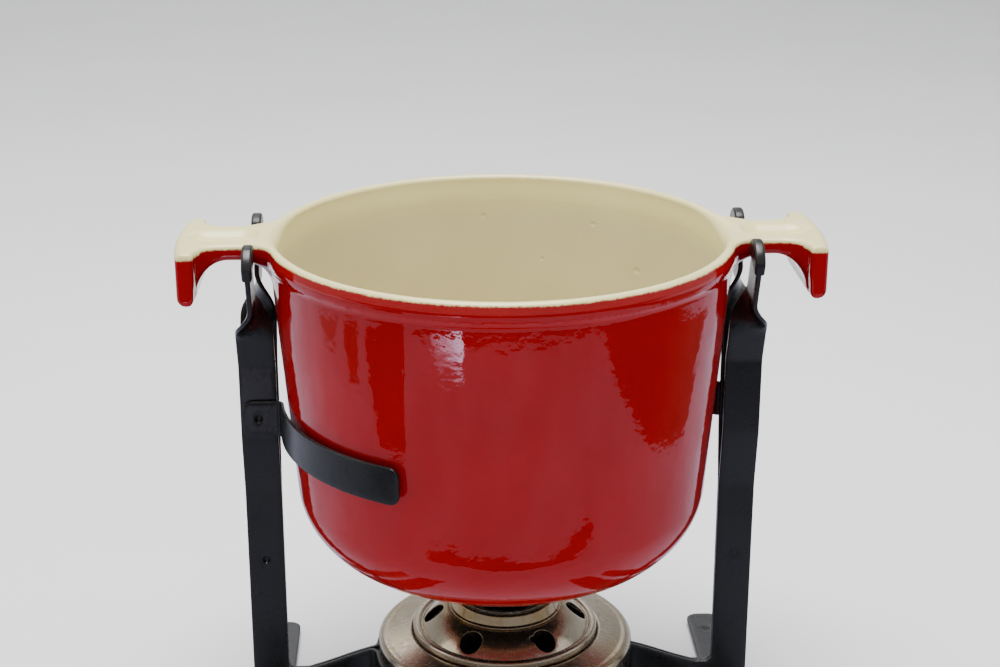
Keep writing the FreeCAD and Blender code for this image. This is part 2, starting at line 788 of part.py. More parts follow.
def make_housing():
    """The burner's housing: a flange with a turned-down skirt that sits on the hoop, and a well inside."""
    body = new_body("burner_housing")
    skin = size("sheet")
    revolve(body, "housing", [
        (0.0, at("well_bottom")),
        (at("well_radius"), at("well_bottom")),
        (at("well_radius"), at("tray_top", -2 * skin)),
        (at("seat_radius"), at("seat_top", -skin)),
        (at("tray_radius", -4.4), at("tray_top", -skin)),
        (at("tray_radius", -skin), at("tray_top", -skin)),
        (at("tray_radius", -skin), at("hoop_top", skin)),
        (at("tray_radius", -3.2), at("hoop_top", skin)),
        (at("tray_radius", -3.2), at("hoop_top")),
        (at("tray_radius"), at("hoop_top")),
        (at("tray_radius"), at("tray_top")),
        (at("tray_radius", -4.4), at("tray_top")),
        (at("seat_radius"), at("seat_top")),
        (at("well_radius", -skin), at("tray_top", -skin)),
        (at("well_radius", -skin), at("well_bottom", skin)),
        (0.0, at("well_bottom", skin)),
    ])
    fillet_rings(body, "housing_rounding", [
        (size("tray_radius"), size("tray_top"), 2.6),
        (size("tray_radius") - skin, size("tray_top") - skin, 1.8),
        (size("well_radius"), size("well_bottom"), 4.0),
        (size("well_radius") - skin, size("well_bottom") + skin, 3.2),
    ])
    return body


def make_cover():
    """The domed burner cover: raised ring, sloping dome, vents and a wide mouth."""
    body = new_body("burner_cover")
    skin = size("sheet")
    revolve(body, "cover", [
        (at("cover_mouth"), at("cover_top", -skin)),
        (at("collar_foot", 0.6), at("cover_top", -skin)),
        (at("cover_radius", -4.2), at("cover_ring_top", -1.0 - skin)),
        (at("cover_radius", -3.0), at("cover_ring_top", -skin)),
        (at("cover_radius", -skin), at("cover_ring_top", -skin)),
        (at("cover_radius", -skin), at("seat_top")),
        (at("cover_radius"), at("seat_top")),
        (at("cover_radius"), at("cover_ring_top")),
        (at("cover_radius", -3.4), at("cover_ring_top")),
        (at("cover_radius", -4.4), at("cover_ring_top", -1.0)),
        (at("collar_foot", 0.4), at("cover_top")),
        (at("cover_mouth"), at("cover_top")),
    ])
    sketch = new_sketch(body, "vents_outline", "XY_Plane")
    for number in range(VENT_COUNT):
        angle = math.radians(-90 + 180 / VENT_COUNT + number * 360 / VENT_COUNT)
        x, y = size("vent_circle") * math.cos(angle), size("vent_circle") * math.sin(angle)
        draw_circle(sketch, x, y, "vent_radius")
    pocket_through(body, "vents", sketch)
    notch = new_sketch(body, "notch_outline", "XY_Plane")
    angle = math.radians(NOTCHED_VENT_ANGLE)
    reach = size("vent_radius") + size("vent_notch") * 0.6
    x = size("vent_circle") * math.cos(angle) - reach
    y = size("vent_circle") * math.sin(angle) - 0.5
    draw_circle(notch, x, y, "vent_notch")
    pocket_through(body, "notch", notch)
    return body


def make_collar():
    """The rolled collar on the cover's mouth, with the open seam where its ends meet."""
    body = new_body("collar_blank")
    skin = size("sheet")
    revolve(body, "collar", [
        (at("collar_foot", -1.2), at("cover_top")),
        (at("collar_foot"), at("cover_top")),
        (at("collar_foot"), at("cover_top", skin)),
        (at("collar_foot", -1.2), at("cover_top", skin + 0.3)),
        (at("collar_foot", -2.4), at("collar_top", -0.4)),
        (at("collar_foot", -3.0), at("collar_top")),
        (at("collar_mouth"), at("collar_top")),
        (at("collar_mouth"), at("collar_top", -skin)),
        (at("collar_foot", -3.2), at("collar_top", -skin)),
        (at("collar_foot", -2.1), at("cover_top", skin)),
    ])
    slit = doc.addObject("Part::Box", "collar_slit")
    slit.Length = 12.0
    slit.Width = 0.4
    slit.Height = 12.0
    turn = Rotation(Vector(0, 0, 1), COLLAR_SEAM_ANGLE)
    start = turn.multVec(Vector(size("collar_mouth") - 2.0, -0.2, 0))
    slit.Placement = Placement(start + Vector(0, 0, size("cover_top") - 2.0), turn)
    return cut("burner_collar", body, slit)


def make_cup():
    """The fuel cup in the well: a wide shell with a shoulder and a tall neck."""
    body = new_body("fuel_cup")
    skin = size("sheet")
    floor = at("well_bottom", skin)
    revolve(body, "cup", [
        (0.0, floor),
        (at("cup_radius", -4.0), floor),
        (at("cup_radius"), at("well_bottom", skin + 4.0)),
        (at("cup_radius"), at("cup_shoulder", -2.0)),
        (at("cup_radius", -2.0), at("cup_shoulder")),
        (at("neck_radius"), at("cup_shoulder", 1.5)),
        (at("neck_radius"), at("neck_top")),
        (at("neck_radius", -skin), at("neck_top")),
        (at("neck_radius", -skin), at("cup_shoulder", 1.5 - skin)),
        (at("cup_radius", -2.4), at("cup_shoulder", -skin)),
        (at("cup_radius", -skin), at("cup_shoulder", -2.2)),
        (at("cup_radius", -skin), at("well_bottom", skin + 4.2)),
        (at("cup_radius", -4.3), at("well_bottom", 2 * skin)),
        (0.0, at("well_bottom", 2 * skin)),
    ])
    return body


def make_wadding():
    """The absorbent wadding that holds the fuel inside the cup."""
    body = new_body("fuel_wadding")
    low = size("well_bottom") + 2 * size("sheet") + 0.4
    revolve(body, "wadding", [
        (0.0, low),
        (at("cup_radius", -6.4), low),
        (at("cup_radius", -2.6), low + 4.0),
        (at("cup_radius", -2.6), at("cup_shoulder", -6.0)),
        (at("cup_radius", -5.0), at("cup_shoulder", -4.0)),
        (0.0, at("cup_shoulder", -3.0)),
    ])
    return body


def make_mesh():
    """The pierced disc across the neck, through which the flame burns."""
    body = new_body("wick_mesh")
    radius = size("neck_radius") - size("sheet")
    revolve(body, "mesh_disc", [
        (0.0, at("mesh_height")),
        (radius, at("mesh_height")),
        (radius, at("mesh_height", size("mesh_gauge"))),
        (0.0, at("mesh_height", size("mesh_gauge"))),
    ])
    sketch = new_sketch(body, "mesh_holes", "XY_Plane")
    pitch, hole = 4.2, 1.3
    rows = range(-3, 4)
    for row in rows:
        for column in rows:
            x = (column + 0.5 * (row % 2)) * pitch
            y = row * pitch * math.sqrt(0.75)
            if math.hypot(x, y) + hole + 0.9 < radius:
                sketch.addGeometry(Part.Circle(Vector(x, y, 0), Vector(0, 0, 1), hole), False)
    pocket_through(body, "mesh_pierced", sketch)
    return body


def make_burner():
    """Every piece of the burner, moved to where it sits in the hoop."""
    pieces = [make_housing(), make_cover(), make_collar(), make_cup(), make_wadding(), make_mesh()]
    for piece in pieces:
        piece.setExpression("Placement.Base.x", cell("burner_shift"))
    return pieces


# ---------------------------------------------------------------- assembly

def check_document():
    """Stop if any object of the document failed to compute."""
    for item in doc.Objects:
        if "Invalid" in item.State or "Error" in item.State:
            raise RuntimeError(f"{item.Name} failed: {item.State}")


def write_parts(pieces):
    """Check each piece and write it to its own file."""
    os.makedirs("parts", exist_ok=True)
    for piece in pieces:
        shape = piece.Shape
        if shape.isNull() or not shape.isValid():
            raise RuntimeError(f"{piece.Label} has no valid shape")
        print(piece.Label, "solids", len(shape.Solids), "volume", round(shape.Volume, 1))
    for piece in pieces:
        piece.Shape.exportStep(f"parts/{piece.Label}.step")


fill_sheet()
nodes = [make_pot()]
nodes += make_frames()
nodes += make_caps()
nodes += make_arms()
nodes += make_rivets()
nodes += make_pads()
nodes += make_burner()
doc.recompute()
check_document()
write_parts(nodes)
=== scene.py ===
import math

import bpy
import numpy as np
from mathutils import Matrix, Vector
from mathutils.geometry import delaunay_2d_cdt


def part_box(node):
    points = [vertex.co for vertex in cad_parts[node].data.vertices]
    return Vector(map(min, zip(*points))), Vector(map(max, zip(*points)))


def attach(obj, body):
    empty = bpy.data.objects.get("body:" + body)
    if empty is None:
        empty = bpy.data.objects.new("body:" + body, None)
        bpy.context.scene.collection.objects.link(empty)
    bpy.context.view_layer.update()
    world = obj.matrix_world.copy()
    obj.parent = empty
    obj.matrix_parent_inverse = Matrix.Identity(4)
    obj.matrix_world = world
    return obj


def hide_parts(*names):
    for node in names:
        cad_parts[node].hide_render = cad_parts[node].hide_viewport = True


# Fondue pot set: enamelled cast pot, stand of two riveted strip frames, stainless burner.
# Everything here is in millimetres until a mesh is made. +Z up, front towards -Y.

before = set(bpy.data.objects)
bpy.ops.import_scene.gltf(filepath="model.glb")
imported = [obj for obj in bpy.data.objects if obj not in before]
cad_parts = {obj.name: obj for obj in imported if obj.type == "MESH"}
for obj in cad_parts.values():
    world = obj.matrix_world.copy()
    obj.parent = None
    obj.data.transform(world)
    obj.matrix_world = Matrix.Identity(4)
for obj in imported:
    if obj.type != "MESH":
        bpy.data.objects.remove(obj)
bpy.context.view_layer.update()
MM = 0.001


# ---- sizes, from the CAD frame where it has them

def low(node):
    return np.array(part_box(node)[0]) / MM


def high(node):
    return np.array(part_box(node)[1]) / MM


RIM_TOP = high("pot")[2]
REACH = high("pot")[0]
LEG_X = float((low("front_right_cap") + high("front_right_cap"))[0] / 2)
PAD_HEIGHT = 1.6
FOOT_REACH = -low("front_frame")[1]
LUG_TIP = 194.0
BURNER_X = float((low("burner_housing") + high("burner_housing"))[0] / 2)


# ---- meshes

def new_object(name, data):
    made = bpy.data.objects.new(name, data)
    bpy.context.scene.collection.objects.link(made)
    return made


def add_piece(name, points, faces, material, body, nodes, sharp=50, extra=()):
    """Make a mesh object from millimetre points, smooth shaded up to an angle, riding on its body."""
    mesh = bpy.data.meshes.new(name)
    mesh.from_pydata((np.asarray(points, float) * MM).tolist(), [], faces)
    mesh.update()
    mesh.polygons.foreach_set("use_smooth", [True] * len(mesh.polygons))
    if sharp:
        mesh.set_sharp_from_angle(angle=math.radians(sharp))
    for label, values in extra:
        layer = mesh.attributes.new(label, "FLOAT", "POINT")
        layer.data.foreach_set("value", np.asarray(values, np.float32))
    obj = new_object(name, mesh)
    mesh.materials.append(material)
    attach(obj, body)
    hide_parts(*nodes)
    return obj


def rounded(corners, closed=True, step=15.0):
    """A polyline whose corners (x, y, radius) are turned into arcs."""
    count = len(corners)
    out = []
    for i, (x, y, radius) in enumerate(corners):
        here = np.array((x, y), float)
        if radius <= 0 or (not closed and i in (0, count - 1)):
            out.append(here)
            continue
        before = np.array(corners[i - 1][:2], float) - here
        after = np.array(corners[(i + 1) % count][:2], float) - here
        before /= np.linalg.norm(before)
        after /= np.linalg.norm(after)
        between = math.acos(max(-1.0, min(1.0, float(before @ after))))
        turn = math.pi - between
        if turn < 1e-4:
            out.append(here)
            continue
        reach = radius * math.tan(turn / 2)
        middle = before + after
        centre = here + middle / np.linalg.norm(middle) * radius / math.cos(turn / 2)
        start = here + before * reach - centre
        side = 1.0 if before[0] * after[1] - before[1] * after[0] < 0 else -1.0
        pieces = max(2, int(math.degrees(turn) / step) + 1)
        for k in range(pieces + 1):
            angle = side * turn * k / pieces
            cos, sin = math.cos(angle), math.sin(angle)
            out.append(centre + (start[0] * cos - start[1] * sin, start[0] * sin + start[1] * cos))
    return np.array(out)


def lathe(profile, count=128, closed=True):
    """Points and faces of an outline (radius, height) turned about Z; points on the axis become poles."""
    angles = np.linspace(0, 2 * math.pi, count, endpoint=False)
    points, rows = [], []
    for radius, height in profile:
        start = len(points)
        if radius < 1e-6:
            points.append((0.0, 0.0, height))
            rows.append([start] * count)
        else:
            points.extend((radius * math.cos(a), radius * math.sin(a), height) for a in angles)
            rows.append(list(range(start, start + count)))
    faces = []
    pairs = list(zip(rows, rows[1:])) + ([(rows[-1], rows[0])] if closed else [])
    for upper, lower in pairs:
        if upper[0] == upper[1] and lower[0] == lower[1]:
            continue
        for i in range(count):
            j = (i + 1) % count
            ring = (upper[i], upper[j], lower[j], lower[i])
            faces.append(tuple(dict.fromkeys(ring)))
    return np.array(points), faces


def loop_normals(loop):
    """Unit vectors to the left of a closed loop at each point, longer at corners so offsets stay even."""
    forward = np.roll(loop, -1, 0) - loop
    forward /= np.linalg.norm(forward, axis=1)[:, None]
    left = np.stack([-forward[:, 1], forward[:, 0]], 1)
    mixed = left + np.roll(left, 1, 0)
    return mixed / np.maximum((mixed * left).sum(1), 0.4)[:, None]


def inside(points, loops):
    """Which points lie inside the loops, by the even-odd rule."""
    x, y = points[:, 0][:, None], points[:, 1][:, None]
    result = np.zeros(len(points), bool)
    for loop in loops:
        a, b = loop, np.roll(loop, -1, 0)
        crosses = (a[:, 1] > y) != (b[:, 1] > y)
        with np.errstate(divide="ignore", invalid="ignore"):
            at = (b[:, 0] - a[:, 0]) * (y - a[:, 1]) / (b[:, 1] - a[:, 1]) + a[:, 0]
        result ^= (np.sum(crosses & (x < at), axis=1) % 2).astype(bool)
    return result


def nearest(points, loops):
    """Distance from each point to the nearest loop vertex."""
    every = np.concatenate(loops)
    return np.array([np.min(np.hypot(*(every - p).T)) for p in points])


def slab(loops, roundings, gauge, lattice, place, clear=0.9, steps=3):
    """A plate of even thickness with rounded rims. loops: outer one counterclockwise, holes clockwise.
    place(flat points, lift) puts flat points into space, lifted off the middle surface."""
    flats, lifts, faces, top_loops, top_index = [], [], [], [], []
    count = 0
    for loop, rounding in zip(loops, roundings):
        normals = loop_normals(loop)
        size = len(loop)
        angles = [math.pi / 2 * (1 - k / steps) for k in range(steps + 1)]
        rings = [(rounding * (1 - math.cos(a)), gauge / 2 - rounding + rounding * math.sin(a))
                 for a in angles]
        rings += [(inset, -lift) for inset, lift in reversed(rings)]
        for number, (inset, lift) in enumerate(rings):
            flats.append(loop + normals * inset)
            lifts.append(np.full(size, lift))
            if number:
                for i in range(size):
                    j = (i + 1) % size
                    up, down = count + (number - 1) * size, count + number * size
                    faces.append((up + i, down + i, down + j, up + j))
        top_loops.append(loop + normals * rings[0][0])
        top_index.append((count, count + (len(rings) - 1) * size, size))
        count += size * len(rings)
    keep = inside(lattice, top_loops)
    lattice = lattice[keep]
    lattice = lattice[nearest(lattice, top_loops) > clear]
    rim = np.concatenate(top_loops)
    edges, start = [], 0
    for loop in top_loops:
        edges += [(start + i, start + (i + 1) % len(loop)) for i in range(len(loop))]
        start += len(loop)
    flat = np.concatenate([rim, lattice])
    made, _, triangles, origin, _, _ = delaunay_2d_cdt(flat.tolist(), edges, [], 0, 1e-6)
    if len(made) != len(flat):
        raise RuntimeError("a plate's outline crosses itself")
    source = [item[0] for item in origin]
    centres = np.array([np.mean([flat[source[i]] for i in t], axis=0) for t in triangles])
    wanted = inside(centres, top_loops)
    upper = [first + i for first, _, size in top_index for i in range(size)]
    lower = [last + i for _, last, size in top_index for i in range(size)]
    upper += list(range(count, count + len(lattice)))
    lower += list(range(count + len(lattice), count + 2 * len(lattice)))
    for lift in (gauge / 2, -gauge / 2):
        flats.append(lattice)
        lifts.append(np.full(len(lattice), lift))
    for triangle, ok in zip(triangles, wanted):
        if ok:
            a, b, c = (source[i] for i in triangle)
            faces.append((upper[a], upper[b], upper[c]))
            faces.append((lower[c], lower[b], lower[a]))
    return place(np.concatenate(flats), np.concatenate(lifts)), faces


def circle(x, y, radius, count=28, clockwise=True):
    turn = -1 if clockwise else 1
    angles = turn * np.linspace(0, 2 * math.pi, count, endpoint=False)
    return np.stack([x + radius * np.cos(angles), y + radius * np.sin(angles)], 1)


def split_line(start, end, cuts, axis):
    """Points from start to end (end left out), with one at every cut in between along an axis."""
    start, end = np.array(start, float), np.array(end, float)
    first, last = start[axis], end[axis]
    inner = [c for c in cuts if min(first, last) + 0.3 < c < max(first, last) - 0.3]
    inner.sort(reverse=bool(last < first))
    return [start] + [start + (end - start) * (c - first) / (last - first) for c in inner]


class Path:
    """A smooth plane curve, read by arc length."""

    def __init__(self, corners):
        self.points = rounded(corners, closed=False, step=3.0)
        gaps = np.linalg.norm(np.diff(self.points, axis=0), axis=1)
        keep = np.concatenate([[True], gaps > 1e-7])
        self.points = self.points[keep]
        gaps = np.diff(self.points, axis=0)
        lengths = np.linalg.norm(gaps, axis=1)
        self.at = np.concatenate([[0], np.cumsum(lengths)])
        self.middles = (self.at[1:] + self.at[:-1]) / 2
        self.angles = np.unwrap(np.arctan2(gaps[:, 1], gaps[:, 0]))
        self.length = self.at[-1]

    def read(self, s):
        s = np.asarray(s, float)
        x = np.interp(s, self.at, self.points[:, 0])
        y = np.interp(s, self.at, self.points[:, 1])
        angle = np.interp(s, self.middles, self.angles)
        return x, y, angle

    def find(self, axis, value):
        """Arc length where one coordinate passes a value."""
        return float(np.interp(value, self.points[:, axis], self.at))


# ---- materials

class Shader:
    """A small helper that adds nodes to a new material."""

    def __init__(self, name):
        self.material = bpy.data.materials.new(name)
        self.material.use_nodes = True
        self.tree = self.material.node_tree
        self.tree.nodes.clear()
        self.output = self.tree.nodes.new("ShaderNodeOutputMaterial")
        self.place = self.tree.nodes.new("ShaderNodeTexCoord").outputs["Object"]

    def node(self, kind, options=None, **values):
        made = self.tree.nodes.new("ShaderNode" + kind)
        for key, value in (options or {}).items():
            setattr(made, key, value)
        for key, value in values.items():
            self.put(made.inputs[key.replace("_", " ")], value)
        return made

    def put(self, socket, value):
        if isinstance(value, bpy.types.NodeSocket):
            self.tree.links.new(value, socket)
        else:
            socket.default_value = value

    def math(self, operation, first, second=0.0):
        made = self.node("Math", {"operation": operation})
        for socket, value in zip(made.inputs, (first, second)):
            self.put(socket, value)
        return made.outputs[0]

    def plus(self, first, second):
        return self.math("ADD", first, second)

    def times(self, first, second):
        return self.math("MULTIPLY", first, second)

    def squared_gap(self, first, second):
        """Square of a difference."""
        return self.math("POWER", self.math("SUBTRACT", first, second), 2.0)

    def attribute(self, label):
        return self.node("Attribute", {"attribute_name": label}).outputs["Fac"]

    def noise(self, scale, detail=3.0, roughness=0.5, stretch=None):
        place = self.place
        if stretch:
            mapping = self.node("Mapping", Vector=place)
            mapping.inputs["Scale"].default_value = stretch
            place = mapping.outputs[0]
        made = self.node("TexNoise", Vector=place, Scale=scale, Detail=detail, Roughness=roughness)
        return made.outputs["Fac"]

    def ramp(self, value, start, end, low=0.0, high=1.0):
        made = self.node("MapRange", {"interpolation_type": "SMOOTHSTEP"})
        for socket, item in zip(made.inputs, (value, start, end, low, high)):
            self.put(socket, item)
        return made.outputs[0]

    def mix(self, share, first, second):
        made = self.node("Mix", {"data_type": "RGBA"})
        for key, value in ((0, share), (6, first), (7, second)):
            self.put(made.inputs[key], value)
        return made.outputs[2]

    def bump(self, height, distance, strength=1.0, normal=None):
        made = self.node("Bump", Strength=strength, Distance=distance, Height=height)
        if normal:
            self.put(made.inputs["Normal"], normal)
        return made.outputs[0]

    def finish(self, **values):
        shader = self.node("BsdfPrincipled")
        for key, value in values.items():
            self.put(shader.inputs[key.replace("_", " ")], value)
        self.tree.links.new(shader.outputs[0], self.output.inputs[0])
        return self.material


def rgb(red, green, blue):
    return (red, green, blue, 1.0)


# small pits in the casting's inner wall: x, z and size
PITS = ((-0.004, 0.198, 0.0015), (0.044, 0.197, 0.0013), (0.022, 0.179, 0.0012), (0.062, 0.18, 0.0017))


def pot_enamel():
    """Glossy red enamel outside, cream inside, with a ragged edge between them. The base inside the foot
    ring is coloured near-black, and the ring's own edge is bare of enamel."""
    s = Shader("pot_enamel")
    wobble = s.times(s.math("SUBTRACT", s.noise(900.0, 4.0, 0.65), 0.5), 1.5)
    slow = s.times(s.math("SUBTRACT", s.noise(90.0, 2.0), 0.5), 0.8)
    ragged = s.plus(wobble, slow)
    cream, dark_base, bare = (s.ramp(s.plus(s.attribute(label), ragged), -0.35, 0.45)
                         for label in ("cream", "dark_base", "bare"))
    across, _, height = s.node("SeparateXYZ", Vector=s.place).outputs
    blotch = s.ramp(s.noise(22.0, 3.0), 0.3, 0.75)
    red = s.mix(blotch, rgb(0.265, 0.0005, 0.0016), rgb(0.305, 0.0008, 0.0024))
    # The cream lower in the pot is painted darker than at the rim: painted shade in the cavity.
    painted_shade_cream = s.mix(blotch, rgb(0.62, 0.55, 0.315), rgb(0.67, 0.60, 0.355))
    upper = s.mix(blotch, rgb(0.72, 0.64, 0.29), rgb(0.76, 0.68, 0.33))
    pale = s.mix(s.ramp(height, 0.196, 0.211), painted_shade_cream, upper)
    colour = s.mix(cream, red, pale)
    colour = s.mix(bare, colour, rgb(0.42, 0.31, 0.17))
    # The base inside the foot ring is coloured near-black.
    colour = s.mix(dark_base, colour, rgb(0.012, 0.008, 0.006))
    normal = s.bump(s.noise(60.0, 1.5, 0.4), 0.00012)
    normal = s.bump(s.noise(260.0, 2.0, 0.45), 0.00006, 1.0, normal)
    pits = 0.0
    for pit_x, pit_z, size in PITS:
        reach = s.math("SQRT", s.plus(s.squared_gap(across, pit_x), s.squared_gap(height, pit_z)))
        pits = s.math("MAXIMUM", s.ramp(reach, size, size * 0.3), pits)
    pits = s.times(pits, cream)
    normal = s.bump(s.math("SUBTRACT", cream, s.times(pits, 5.0)), 0.00012, 0.5, normal)
    matt_underside = s.times(s.plus(dark_base, bare), 0.5)
    rough = s.plus(s.ramp(cream, 0.0, 1.0, 0.045, 0.24), matt_underside)
    return s.finish(Base_Color=colour, Roughness=rough, Normal=normal, IOR=1.5)


def black_paint(name, tone, rough_low, rough_high):
    """Stoved satin paint on steel, with a fine texture, and what faces up painted lighter: a little dust and
    painted sheen.
    """
    s = Shader(name)
    grain = s.noise(900.0, 3.0, 0.6)
    patch = s.ramp(s.noise(45.0, 4.0, 0.6), 0.35, 0.7)
    colour = s.mix(patch, rgb(tone * 0.85, tone * 0.87, tone * 0.92),
                   rgb(tone * 1.25, tone * 1.28, tone * 1.35))
    facing = s.node("SeparateXYZ", Vector=s.node("NewGeometry").outputs["Normal"]).outputs[2]
    # What faces up is painted lighter: a little dust and painted sheen.
    dust_and_sheen = s.times(s.ramp(facing, 0.8, 1.0), s.ramp(patch, 0.0, 1.0, 0.7, 1.0))
    colour = s.mix(dust_and_sheen, colour, rgb(0.022, 0.0225, 0.024))
    normal = s.bump(grain, 0.00005, 0.35)
    normal = s.bump(s.noise(120.0, 2.0), 0.0004, 0.06, normal)
    rough = s.ramp(patch, 0.0, 1.0, rough_low, rough_high)
    return s.finish(Base_Color=colour, Roughness=rough, Normal=normal, IOR=1.5)


def plastic(name, tone, rough):
    """Moulded black plastic with a fine spark finish."""
    s = Shader(name)
    grain = s.noise(1400.0, 2.0, 0.6)
    cloud = s.ramp(s.noise(150.0, 3.0), 0.3, 0.7)
    colour = s.mix(cloud, rgb(tone, tone, tone * 1.03), rgb(tone * 1.4, tone * 1.4, tone * 1.45))
    rough = s.ramp(cloud, 0.0, 1.0, rough * 0.85, rough * 1.15)
    return s.finish(Base_Color=colour, Roughness=rough, Normal=s.bump(grain, 0.00006, 0.4), IOR=1.46)


def steel(name, tint, rough, heat):
    """Stainless sheet, spun and polished, straw to bronze from the heat, with scratches and brown spots."""
    s = Shader(name)
    x, y, z = s.node("SeparateXYZ", Vector=s.place).outputs
    radius = s.math("SQRT", s.plus(s.squared_gap(x, BURNER_X * MM), s.math("POWER", y, 2.0)))
    rings = s.node("CombineXYZ", X=radius, Y=z).outputs[0]
    spin = s.node("TexNoise", Vector=rings, Scale=2600.0, Detail=3.0, Roughness=0.7).outputs["Fac"]
    cloud = s.ramp(s.noise(38.0, 5.0, 0.62), 0.36, 0.70)
    near = s.times(s.ramp(radius, 0.0345, 0.0215), s.ramp(cloud, 0.0, 1.0, 0.45, 1.0))
    fine = s.noise(420.0, 4.0, 0.7)
    scratch = s.ramp(s.noise(120.0, 1.0, 0.5, (1.0, 9.0, 1.0)), 0.615, 0.64)
    spots = s.ramp(s.noise(170.0, 5.0, 0.75), 0.645, 0.71)
    straw = rgb(tint[0] * 0.93, tint[1] * 0.84, tint[2] * 0.66)
    bronze = rgb(tint[0] * 0.72, tint[1] * 0.56, tint[2] * 0.33)
    colour = s.mix(s.times(cloud, heat), rgb(*tint), straw)
    colour = s.mix(s.times(near, heat), colour, bronze)
    colour = s.mix(s.times(spots, 0.7 * heat), colour, rgb(0.14, 0.075, 0.04))
    rough = s.ramp(fine, 0.25, 0.75, rough * 0.8, rough * 1.35)
    rough = s.plus(rough, s.times(spots, 0.2))
    normal = s.bump(spin, 0.00004, 0.18)
    normal = s.bump(scratch, 0.00003, 0.35, normal)
    return s.finish(Base_Color=colour, Metallic=1.0, Roughness=rough, Normal=normal)


def fibre():
    """Off-white mineral wadding."""
    s = Shader("wadding_fibre")
    strands = s.noise(500.0, 5.0, 0.7, (1.0, 3.0, 1.0))
    colour = s.mix(strands, rgb(0.62, 0.60, 0.55), rgb(0.82, 0.80, 0.76))
    return s.finish(Base_Color=colour, Roughness=s.ramp(strands, 0.0, 1.0, 0.85, 1.0),
                    Normal=s.bump(strands, 0.0006, 0.8))


ENAMEL = pot_enamel()
PAINT = black_paint("stand_paint", 0.0055, 0.26, 0.34)
RIVET_PAINT = black_paint("rivet_paint", 0.004, 0.26, 0.34)
CAP_PLASTIC = plastic("cap_plastic", 0.007, 0.36)
PAD_RUBBER = plastic("pad_rubber", 0.02, 0.8)
STAINLESS = steel("burner_steel", (0.46, 0.40, 0.315), 0.22, 0.95)
CUP_STEEL = steel("cup_steel", (0.075, 0.065, 0.055), 0.45, 0.35)
WADDING = fibre()


# ---- pot

WALL_LOW = (81.7, 79.0)
WALL_HIGH = (92.2, 205.2)
WALL = 4.2
BASE_Z, FLOOR_Z = 79.0, 84.0
BASE_ROUND, FLOOR_ROUND = 31.0, 28.0
RING_INNER, RING_OUTER, RING_Z = 46.0, 50.0, 76.8
LIP_HALF, LIP_ROUND, MOUTH = 5.9, 1.75, 86.4
HANDLE_TOP, HANDLE_UNDER, LUG_THICK = 215.6, 209.0, 9.2
NECK_HALF, LUG_HALF = 14.7, 27.0
DISH_RADIUS, DISH_Z, DISH_START, DISH_END = 10.5, 223.1, 100.0, 115.0


def round_and(a, b, radius):
    """Meeting of two solids with a rounded edge, as distances."""
    corner = np.hypot(np.maximum(a + radius, 0), np.maximum(b + radius, 0))
    return np.minimum(-radius, np.maximum(a, b)) + corner


def round_or(a, b, radius):
    """Joining of two solids with a rounded inner corner, as distances."""
    corner = np.hypot(np.maximum(radius - a, 0), np.maximum(radius - b, 0))
    return np.maximum(radius, np.minimum(a, b)) - corner


def smooth_step(value, start, end):
    share = np.clip((value - start) / (end - start), 0, 1)
    return share * share * (3 - 2 * share)


def vessel_distance(x, y, z):
    """The turned casting without its cavity, its lip, and the cavity, as distances."""
    r = np.hypot(x, y)
    slope = math.atan2(WALL_HIGH[0] - WALL_LOW[0], WALL_HIGH[1] - WALL_LOW[1])
    side = (r - WALL_LOW[0]) * math.cos(slope) - (z - WALL_LOW[1]) * math.sin(slope)
    body = round_and(side, BASE_Z - z, BASE_ROUND)
    foot = round_and(np.maximum(r - RING_OUTER, RING_INNER - r), RING_Z - z, 0.7)
    body = round_or(body, np.maximum(foot, z - BASE_Z - 2.0), 1.0)
    body = np.maximum(body, z - (RIM_TOP - 4.0))
    swell = 93.35 + 0.75 * np.exp(-((z - 211.4) / 2.3) ** 2)
    swell = np.minimum(swell, 92.1 + (z - 206.1) * 0.6)
    lip = round_and((r - swell) * 0.92, np.abs(z - (RIM_TOP - LIP_HALF)) - LIP_HALF, LIP_ROUND)
    lip = np.maximum(lip, MOUTH - r)
    flare = 0.06 * smooth_step(z, 205.0, 206.6) + 0.5 * smooth_step(z, 206.0, 214.0)
    return body, lip, round_and(side + WALL - flare, FLOOR_Z - z, FLOOR_ROUND)


def handle_distance(x, y, z):
    """Both handles as distances: a side view and a plan met, with rounded edges."""
    x, y = np.abs(x), np.abs(y)
    bulge = 2.5 * (y / LUG_HALF) ** 2
    shell = round_and(z - HANDLE_TOP, x - REACH + bulge, 2.8)
    hollow = round_or(HANDLE_UNDER - z, REACH - LUG_THICK - x, 12.0)
    profile = round_and(round_and(shell, hollow, 1.0), LUG_TIP - z, 3.4)
    bar = np.maximum(REACH - LUG_THICK - x, y - LUG_HALF)
    plan = round_and(round_or(y - NECK_HALF, bar, 10.0), y - LUG_HALF, 2.0)
    return round_and(profile, plan, 2.1)


def pot_distance(x, y, z):
    """Distance to the whole casting."""
    body, lip, cavity = vessel_distance(x, y, z)
    far = np.abs(x)
    handle = np.maximum(handle_distance(x, y, z), 86.0 - far)
    past = (np.maximum(far - DISH_END, 0) + np.maximum(DISH_START - far, 0)) * 0.8
    dish = np.hypot(np.hypot(past, y), z - DISH_Z) - DISH_RADIUS
    handle = round_and(handle, -dish, 1.0)
    outside = round_or(round_or(body, lip, 0.5), handle, 10.0)
    outside = np.maximum(outside, z - RIM_TOP)
    inner_edge = 1.6 + 4.0 * np.exp(-(y / 20.0) ** 2) * smooth_step(far, 60.0, 80.0)
    return round_and(outside, -cavity, inner_edge)


